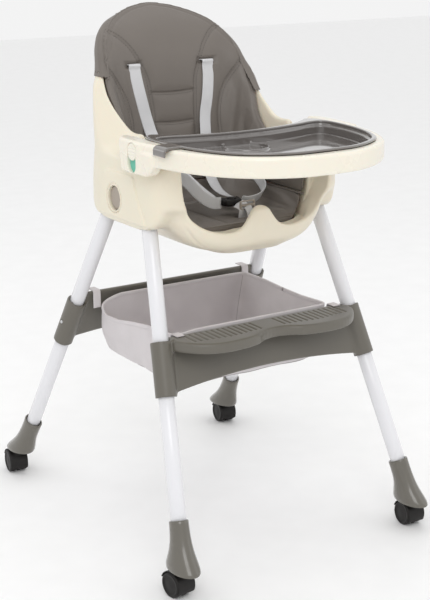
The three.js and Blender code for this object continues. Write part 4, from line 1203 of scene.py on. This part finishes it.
def make_insert_tray():
    """The dark tray: a rim over a basin with two steps, a cup recess and a hook over the cream tray."""
    space = Space((-230, -358, 730), (230, -58, 767), 1.2)
    rim_plan = plan_view(space, insert_plan())
    dish = plan_view(space, dish_plan())
    floor = TRAY_FLOOR + 0.3
    rim = both(rim_plan, between(space.z, TRAY_TOP + 0.3, INSERT_RIM), 4)
    basin = both(dish + 5.6, between(space.z, floor, TRAY_TOP + 1), 5)
    upper_step = np.maximum(dish + 8.5, 754 - space.z)
    lower_step = np.maximum(dish + 12, floor + 4.6 - space.z)
    insert = without(without(either(rim, basin, 1), upper_step, 2.5), lower_step, 5)
    well = np.sqrt((space.x - CUP["x"]) ** 2 + (space.y - CUP["y"]) ** 2) - CUP["r"]
    lip = both(np.abs(well - 2.2) - 1.6, between(space.z, floor + 2, floor + 8.6), 2)
    insert = either(insert, both(lip, dish + 13, 1), 3)
    well = np.maximum(np.maximum(well, dish + 13), between(space.z, floor + 2.6, floor + 11))
    insert = without(insert, well, 2)
    hook = front_view(space, drawn([(-186, INSERT_RIM), (-215, INSERT_RIM, 4), (-222.5, 757, 4),
                                    (-222.5, 745), (-219, 745), (-219, 755, 3), (-213, 757.5),
                                    (-186, 757.5)]))
    insert = either(insert, both(hook, between(space.y, -198, -160), 1.6), 2)
    add_field("insert_tray_skin", space, insert, "insert_plastic", "insert_tray", "insert_tray")


# ------------------------------------------------------------------ legs and crossbars
def turned_over(rings):
    """Quads over rings that close on themselves, so the last ring joins the first."""
    rings = np.asarray(rings, float)
    rows, count = rings.shape[:2]
    faces = []
    for row in range(rows):
        following = (row + 1) % rows
        for i in range(count):
            j = (i + 1) % count
            faces.append((row * count + i, row * count + j, following * count + j, following * count + i))
    return outward(rings.reshape(-1, 3), faces)


def tube_piece(name, low, high, body, replaces):
    """A steel tube with softened ends, open inside."""
    axis = (high - low) / np.linalg.norm(high - low)
    inner, soft = TUBE_R - TUBE_WALL, 0.5
    length = float(np.linalg.norm(high - low))
    profile = [(0, inner), (0, TUBE_R - soft), (soft, TUBE_R), (length * 0.5, TUBE_R),
               (length - soft, TUBE_R), (length, TUBE_R - soft), (length, inner), (length * 0.5, inner)]
    side = np.cross(axis, (0, 0, 1.0))
    side /= np.linalg.norm(side)
    up = np.cross(axis, side)
    t = np.linspace(0, 2 * math.pi, 64, endpoint=False)
    round_ring = np.cos(t)[:, None] * side + np.sin(t)[:, None] * up
    rings = np.array([low + axis * along + round_ring * r for along, r in profile])
    points, faces = turned_over(rings)
    add_piece(name, points, faces, "tube_paint", body, replaces)


def make_snap_button(where, end, sign):
    """The domed pin that locks a tube in its sleeve: rear ones face sideways, front ones backwards."""
    middle = leg_point(end, sign, SNAP_Z)
    out = np.array([sign, 0, 0.0]) if end == "rear" else np.array([0, 1.0, 0])
    axis = leg_point(end, sign, 1) - leg_point(end, sign, 0)
    axis /= np.linalg.norm(axis)
    out -= out.dot(axis) * axis
    out /= np.linalg.norm(out)
    reach = SLEEVE_R + 1.2
    line = middle + out * np.array([[7], [12], [reach - 1.6], [reach - 0.7], [reach - 0.2], [reach]])
    radii = [3.5, 3.5, 3.5, 3.1, 2.0, 0.5]
    side = np.cross(out, axis)
    t = np.linspace(0, 2 * math.pi, 24, endpoint=False)
    rings = [c + r * (np.cos(t)[:, None] * side + np.sin(t)[:, None] * axis) for c, r in zip(line, radii)]
    points, faces = skin(rings)
    add_piece(f"snap_dome_{where}", points, faces, "steel", f"snap_button_{where}",
              f"leg_snap_button_{where}")


def make_legs():
    """Two tubes to each leg, joined in the crossbar's sleeve."""
    for where, end, sign in PLACES:
        tube_piece(f"lower_tube_{where}", leg_point(end, sign, 85), leg_point(end, sign, TUBE_JOINT - 0.3),
                   "root", f"leg_lower_{where}")
        tube_piece(f"upper_tube_{where}", leg_point(end, sign, TUBE_JOINT + 0.3),
                   leg_point(end, sign, LEG_TOP), "root", f"leg_upper_{where}")
        make_snap_button(where, end, sign)


def bar_plate(space, end, top, arch, thick):
    """Web between two sleeves, leaning with the legs, with an arched lower edge."""
    leg = LEGS[end]
    middle = leg["y"] + leg["lean_y"] * space.z
    reach = leg["x"] + leg["lean_x"] * SLEEVE_BOTTOM
    lower = SLEEVE_BOTTOM + 2 + arch * (1 - (space.x / reach) ** 2)
    plate = np.abs(space.y - middle) / math.hypot(1, leg["lean_y"]) - thick / 2
    tall = both(lower - space.z, space.z - top, 1)
    return both(both(plate, tall, 5), np.abs(space.x) - reach - 2, 1)


def bar_with_sleeves(space, end, solid):
    for sign in SIDES.values():
        solid = either(solid, leg_rod(space, end, sign, SLEEVE_BOTTOM, SLEEVE_TOP, SLEEVE_R), 7)
    for sign in SIDES.values():
        bore = leg_rod(space, end, sign, SLEEVE_BOTTOM - 20, SLEEVE_TOP + 60, TUBE_R + 0.7)
        solid = without(solid, bore, 2)
        middle = leg_point(end, sign, SNAP_Z)
        out = np.array([sign, 0, 0.127] if end == "rear" else [0, 1, -0.4])
        solid = without(solid, rod(space, middle + out * 8, middle + out * 34, 4.1), 1)
    return solid


def footrest_plan():
    """Plan of the footrest: rounded front corners and a shallow bay in the middle of the front."""
    bends = [((-198, -186), (-168, -241), (-112, -241)), ((-112, -241), (-70, -241), (-46, -231)),
             ((-46, -231), (0, -196), (46, -231)), ((46, -231), (70, -241), (112, -241)),
             ((112, -241), (168, -241), (198, -186))]
    points = [(-194, -152), (-198, -186)]
    for start, control, finish in np.array(bends, float):
        for t in np.linspace(0.1, 1, 10):
            points.append((1 - t) ** 2 * start + 2 * t * (1 - t) * control + t**2 * finish)
    points.append((194, -152))
    return np.array(points)


def make_crossbars():
    """The front bar with its ribbed footrest, and the rear bar."""
    space = Space((-246, -252, 316), (246, -132, 424), 1.3)
    plan = plan_view(space, footrest_plan())
    lip = 20
    rest = both(plan, between(space.z, FOOTREST_TOP - lip, FOOTREST_TOP), 7)
    rest = without(rest, np.maximum(plan + 4.5, space.z - FOOTREST_TOP + 5), 3)
    solid = either(bar_plate(space, "front", 405, 16, 11), rest, 4)
    solid = bar_with_sleeves(space, "front", solid)
    x = np.abs(space.x)
    pitch, first, last = 11.7, 26, 168
    nearest = np.clip(np.round((x - first) / pitch) * pitch + first, first, last)
    rear_end, front_end = -166, -212
    along = np.clip(space.y, front_end + 10 * np.abs(nearest - 100) / 80, rear_end)
    down = (space.z - FOOTREST_TOP) * 1.2
    groove = np.sqrt((x - nearest) ** 2 + (space.y - along) ** 2 + down**2) - 2.2
    solid = without(solid, groove, 1)
    add_field("front_bar_skin", space, solid, "grey_plastic", "root", "front_crossbar")
    space = Space((-246, 122, 316), (246, 222, 434), 1.5)
    solid = bar_with_sleeves(space, "rear", bar_plate(space, "rear", REAR_BAR_TOP, 16, 11))
    add_field("rear_bar_skin", space, solid, "grey_plastic", "root", "rear_crossbar")


# ------------------------------------------------------------------ casters
def make_boot(where, end, sign):
    """Flared boot: hollow foot, oval flare, and a round collar cut square to the leg."""
    outer = [(50, 24.2, 39.2), (51.2, 25, 40), (56, 25, 39.5), (62, 23.9, 36.3), (68, 22.5, 33),
             (76, 20.8, 28.6), (84, 19.4, 25), (93, 18.3, 21.9), (103, 17.5, 19.8), (112, 17.1, 18.7),
             (120, 16.9, 18.2), (125.6, 16.9, 18.1), (127, 16.2, 17.3)]
    inner = [(127, 15.0, 15.2), (124, 14.6, 14.6), (112, 14.5, 14.5)]
    foot = [(58, 21.5, 34.5), (53, 22.4, 36.8), (50.4, 22.8, 37.6)]
    t = np.linspace(0, 2 * math.pi, 64, endpoint=False)
    rings = []
    for z, half_x, half_y in foot + outer + inner:
        rise = min(max((z - BOOT_BOTTOM) / (BOOT_TOP - BOOT_BOTTOM), 0), 1)
        middle = leg_point(end, sign, z)
        middle[1] += BOOT_SHIFT[end] * (1 - rise) ** 2
        tilt = min(max((rise - 0.3) / 0.7, 0), 1)
        tilt = tilt * tilt * (3 - 2 * tilt)
        dx, dy = half_x * np.cos(t), half_y * np.sin(t)
        dz = -tilt * (sign * LEGS[end]["lean_x"] * dx + LEGS[end]["lean_y"] * dy)
        rings.append(np.stack([middle[0] + dx, middle[1] + dy, z + dz], axis=1))
    points, faces = skin(rings)
    add_piece(f"boot_{where}", points, faces, "grey_plastic", "root", f"caster_housing_{where}",
              material=BOOT_PLASTIC)


def fork_field():
    """Stem, bearing, mid web and hood of one caster, about its swivel axis."""
    space = Space((-24, -20, 2), (24, 42, 80), 0.8)
    y, z = space.y - CASTER_TRAIL, space.z - AXLE_Z
    radial = np.sqrt(y**2 + z**2)
    angle = np.degrees(np.arctan2(z, y))
    angle = np.where(angle < -90, angle + 360, angle)
    x = np.abs(space.x)
    covered = np.maximum(18 - angle, angle - 212) * 0.4
    hood_half = WHEEL_INNER + WHEEL_WIDTH - 0.3
    hood = both(both(np.abs(radial - WHEEL_R - 1.65) - 0.85, x - hood_half, 1), covered, 1.5)
    web = both(radial - WHEEL_R - 1.2, x - WHEEL_INNER + 0.8, 1)
    hub = both(radial - 7.5, x - WHEEL_INNER + 0.5, 1)
    solid = either(either(hood, web, 2), hub, 1)
    wheel_room = np.maximum(radial - WHEEL_R - 0.8, WHEEL_INNER - 0.6 - x)
    post = np.sqrt(space.x**2 + space.y**2)
    bearing = np.maximum(post - 9, between(space.z, WHEEL_R + 18, 49.6))
    stem = np.maximum(post - 5.3, between(space.z, WHEEL_R, 75))
    solid = np.maximum(either(solid, bearing, 4), -wheel_room)
    solid = np.maximum(either(solid, stem, 0.5), -wheel_room)
    axle_bore = radial - 3.2
    return space.skin(np.maximum(np.maximum(solid, 3 - space.z), -axle_bore))


def wheel_shape(sign):
    """Twin wheel: rounded tyre, a raised rim and a closed, slightly dished disc."""
    w = WHEEL_WIDTH
    r = WHEEL_R
    bore, cap = 3.3, 2.3
    profile = [(w - cap, 0.1), (w - cap, bore), (0, bore), (0, r - 4.2), (0.4, r - 3), (2.2, r - 0.5),
               (4.2, r), (w - 3.2, r), (w - 1.2, r - 0.7), (w - 0.2, r - 2.4), (w, r - 4), (w - 0.6, r - 4.8),
               (w - 1.5, r - 5.4), (w - 1.7, r - 9), (w - 1.4, 8), (w - 0.8, 4), (w - 0.7, 0.1)]
    points, faces = skin(lathe(profile, 72))
    points = (points + (WHEEL_INNER, 0, 0)) * (sign, 1, 1) + (0, CASTER_TRAIL, AXLE_Z)
    return outward(points, faces)


def make_casters():
    fork = fork_field()
    for where, end, sign in PLACES:
        make_boot(where, end, sign)
        turn = math.radians(SWIVEL[where])
        c, s = math.cos(turn), math.sin(turn)
        spin = np.array([[c, s, 0], [-s, c, 0], [0, 0, 1]])
        foot = leg_point(end, sign, BOOT_BOTTOM)
        shift_x, shift_y = STEM_SHIFT[end]
        at = np.array([foot[0] + sign * shift_x, foot[1] + shift_y, 0])
        add_piece(f"caster_hood_{where}", fork[0] @ spin + at, fork[1], "black_plastic", f"caster_{where}",
                  f"caster_fork_{where}")
        for wheel, wheel_sign in (("a", -1), ("b", 1)):
            points, faces = wheel_shape(wheel_sign)
            add_piece(f"tyre_{where}_{wheel}", points @ spin + at, faces, "black_plastic",
                      f"wheel_{where}_{wheel}", f"caster_wheel_{where}_{wheel}")


# ------------------------------------------------------------------ basket
BASKET = [(304, 141, -115, 129), (309, 150, -122, 137), (315, 158, -128, 144), (345, 162, -132, 143.5),
          (380, 166, -137, 140.5), (412, 170, -142, 137.5), (417, 170.5, -142.5, 137)]


def basket_ring(level, count, power=22):
    """One level of the basket, nearly a rectangle."""
    z, half, front, rear = level
    t = np.linspace(0, 2 * math.pi, count, endpoint=False)
    k = (np.abs(np.cos(t)) ** power + np.abs(np.sin(t)) ** power) ** (-1 / power)
    x = half * np.cos(t) * k
    y = (front + rear) / 2 + (rear - front) / 2 * np.sin(t) * k
    return np.stack([x, y, np.full(count, float(z))], axis=1)


def slack(points):
    """Soft wrinkles of cloth that hangs by its rim: folds that run up from the lower corners."""
    x, y, z = points.T
    low = np.clip((417 - z) / 100, 0, 1) * np.clip((z - 303) / 12, 0.25, 1)
    middle_y = 5
    around = np.arctan2(y - middle_y, x)
    folds = (1.5 * np.sin(around * 9 + z * 0.045) + 1.0 * np.sin(around * 17 - z * 0.08 + 1.2)
             + 0.8 * np.sin(x * 0.07 + y * 0.05 + z * 0.11))
    away = np.stack([x / 170, (y - middle_y) / 140, np.zeros_like(z)], axis=1)
    away /= np.maximum(np.linalg.norm(away, axis=1), 1e-6)[:, None]
    moved = points + away * (folds * low)[:, None]
    edge = np.clip(1 - np.maximum(np.abs(x) / 171, np.abs(y + 3) / 140), 0, 1)
    floor = np.clip((312 - z) / 8, 0, 1)
    moved[:, 2] += floor * (1.1 * np.sin(x * 0.06 + 1) * np.sin(y * 0.07) - 3.2 * edge)
    high = np.clip((z - 318) / 99, 0, 1) ** 1.3
    left = np.clip((-x - 118) / 46, 0, 1) ** 1.5
    right = np.clip((x - 118) / 46, 0, 1) ** 1.5
    droop_left = np.interp(y, (-142, -47, 9, 66, 112, 137), (5, 11, 19, 29, 31, 12))
    droop_right = np.interp(y, (-142, -60, 0, 60, 137), (0, 4, 3, 0, 0))
    moved[:, 2] -= high * (left * droop_left + right * droop_right)
    moved[:, 0] -= np.sin(np.clip((z - 310) / 107, 0, 1) * math.pi) * left * droop_left * 0.35
    return moved


def make_basket():
    """The sewn basket: one cloth, doubled to its thickness, hung by its rim."""
    count = 288
    levels = smooth_line([(*level,) for level in BASKET], 56)
    wall = [basket_ring(level, count) for level in levels]
    base = basket_ring(BASKET[0], count)
    centre = base.mean(0)
    floor = [centre + (base - centre) * share for share in np.linspace(0.03, 0.985, 34)]
    sheet_rings = np.array(floor + wall)
    sheet_points = slack(sheet_rings.reshape(-1, 3)).reshape(sheet_rings.shape)
    thick = 0.9
    inner = sheet_points.copy()
    mid = inner.mean((0, 1))
    first_wall = len(floor) + 3
    for row in range(len(inner)):
        if row < first_wall:
            inner[row, :, 2] += thick
        else:
            away = inner[row, :, :2] - mid[:2]
            away /= np.linalg.norm(away, axis=1)[:, None]
            inner[row, :, :2] -= away * thick
    points, faces = skin(np.concatenate([sheet_points, inner[::-1]]))
    piece = add_piece("basket_cloth", points, faces, "basket_fabric", "root", "storage_basket")
    trim_basket(sheet_points, len(floor))
    make_basket_loops()


def trim_basket(sheet_points, floor_rings):
    """Binding round the rim, and seams up the corners and round the floor."""
    rim = np.vstack([sheet_points[-1], sheet_points[-1][:2]])
    section = drawn([(-2.2, -5, 1.6), (2.2, -5, 1.6), (2.2, 2.2, 2), (-2.2, 2.2, 2)], 4)
    points, faces = skin(hem_rings(rim, section))
    add_piece("basket_binding", points, faces, "basket_fabric", "root")
    count = sheet_points.shape[1]
    for number in range(4):
        corner = sheet_points[floor_rings:, int(count * (number + 0.5) / 4)]
        cord_piece(f"basket_corner_seam_{number}", corner, 1.1, "basket_fabric", "root", 8, (1, 0.3, 0),
                   BASKET_SEAM)
    bottom = sheet_points[floor_rings + 4]
    bottom = np.vstack([bottom, bottom[:2]])
    cord_piece("basket_floor_seam", bottom, 1.0, "basket_fabric", "root", 8, (0, 0, 1), BASKET_SEAM)


def make_basket_loops():
    """The fabric loops that go from the basket's rim over the crossbars."""
    for where, end, sign in PLACES:
        if end == "front":
            top, rim_y, far, out = FOOTREST_TOP, -145.4, -168, -1
        else:
            top, rim_y, far, out = REAR_BAR_TOP, 139.4, 164, 1
        route = [(rim_y, 396), (rim_y, 404), (rim_y + out * 0.4, top - 4), (rim_y + out * 2.5, top + 1.0),
                 (rim_y + out * 6, top + 1.4), (far, top + 1.4)]
        loop_x = sign * 174
        strap(f"basket_loop_{where}", [(loop_x, y, z) for y, z in route], (1, 0, 0), "root",
              f"basket_clip_{where}", width=16, spacing=1.5, material=FINISHES["basket_fabric"])


def hem_rings(line, section):
    """Rings of an upright section round a level closed line."""
    tangents = np.gradient(line, axis=0)
    tangents[:, 2] = 0
    tangents /= np.linalg.norm(tangents, axis=1)[:, None]
    sides = np.stack([tangents[:, 1], -tangents[:, 0], np.zeros(len(line))], axis=1)
    up = np.array([0, 0, 1.0])
    return line[:, None] + sides[:, None] * section[None, :, :1] + up * section[None, :, 1:]


# ------------------------------------------------------------------ all of it
def finish_cad_nodes():
    """CAD nodes that still show get the same finishes as the new pieces."""
    finish_of = {row["node"]: row["material_slot"] for row in frame["record"]["subparts"]}
    for name, node in frame["nodes"].items():
        node.data.materials.clear()
        node.data.materials.append(FINISHES[finish_of[name]])


add_camera()
add_studio()
make_seat_shell()
make_release_buttons()
back_pad = make_back_cushion()
make_cover_hood()
make_seat_cushion()
make_straps(back_pad)
make_buckle()
make_slider()
make_tray()
make_tray_locks()
make_insert_tray()
make_legs()
make_crossbars()
make_casters()
make_basket()
finish_cad_nodes()
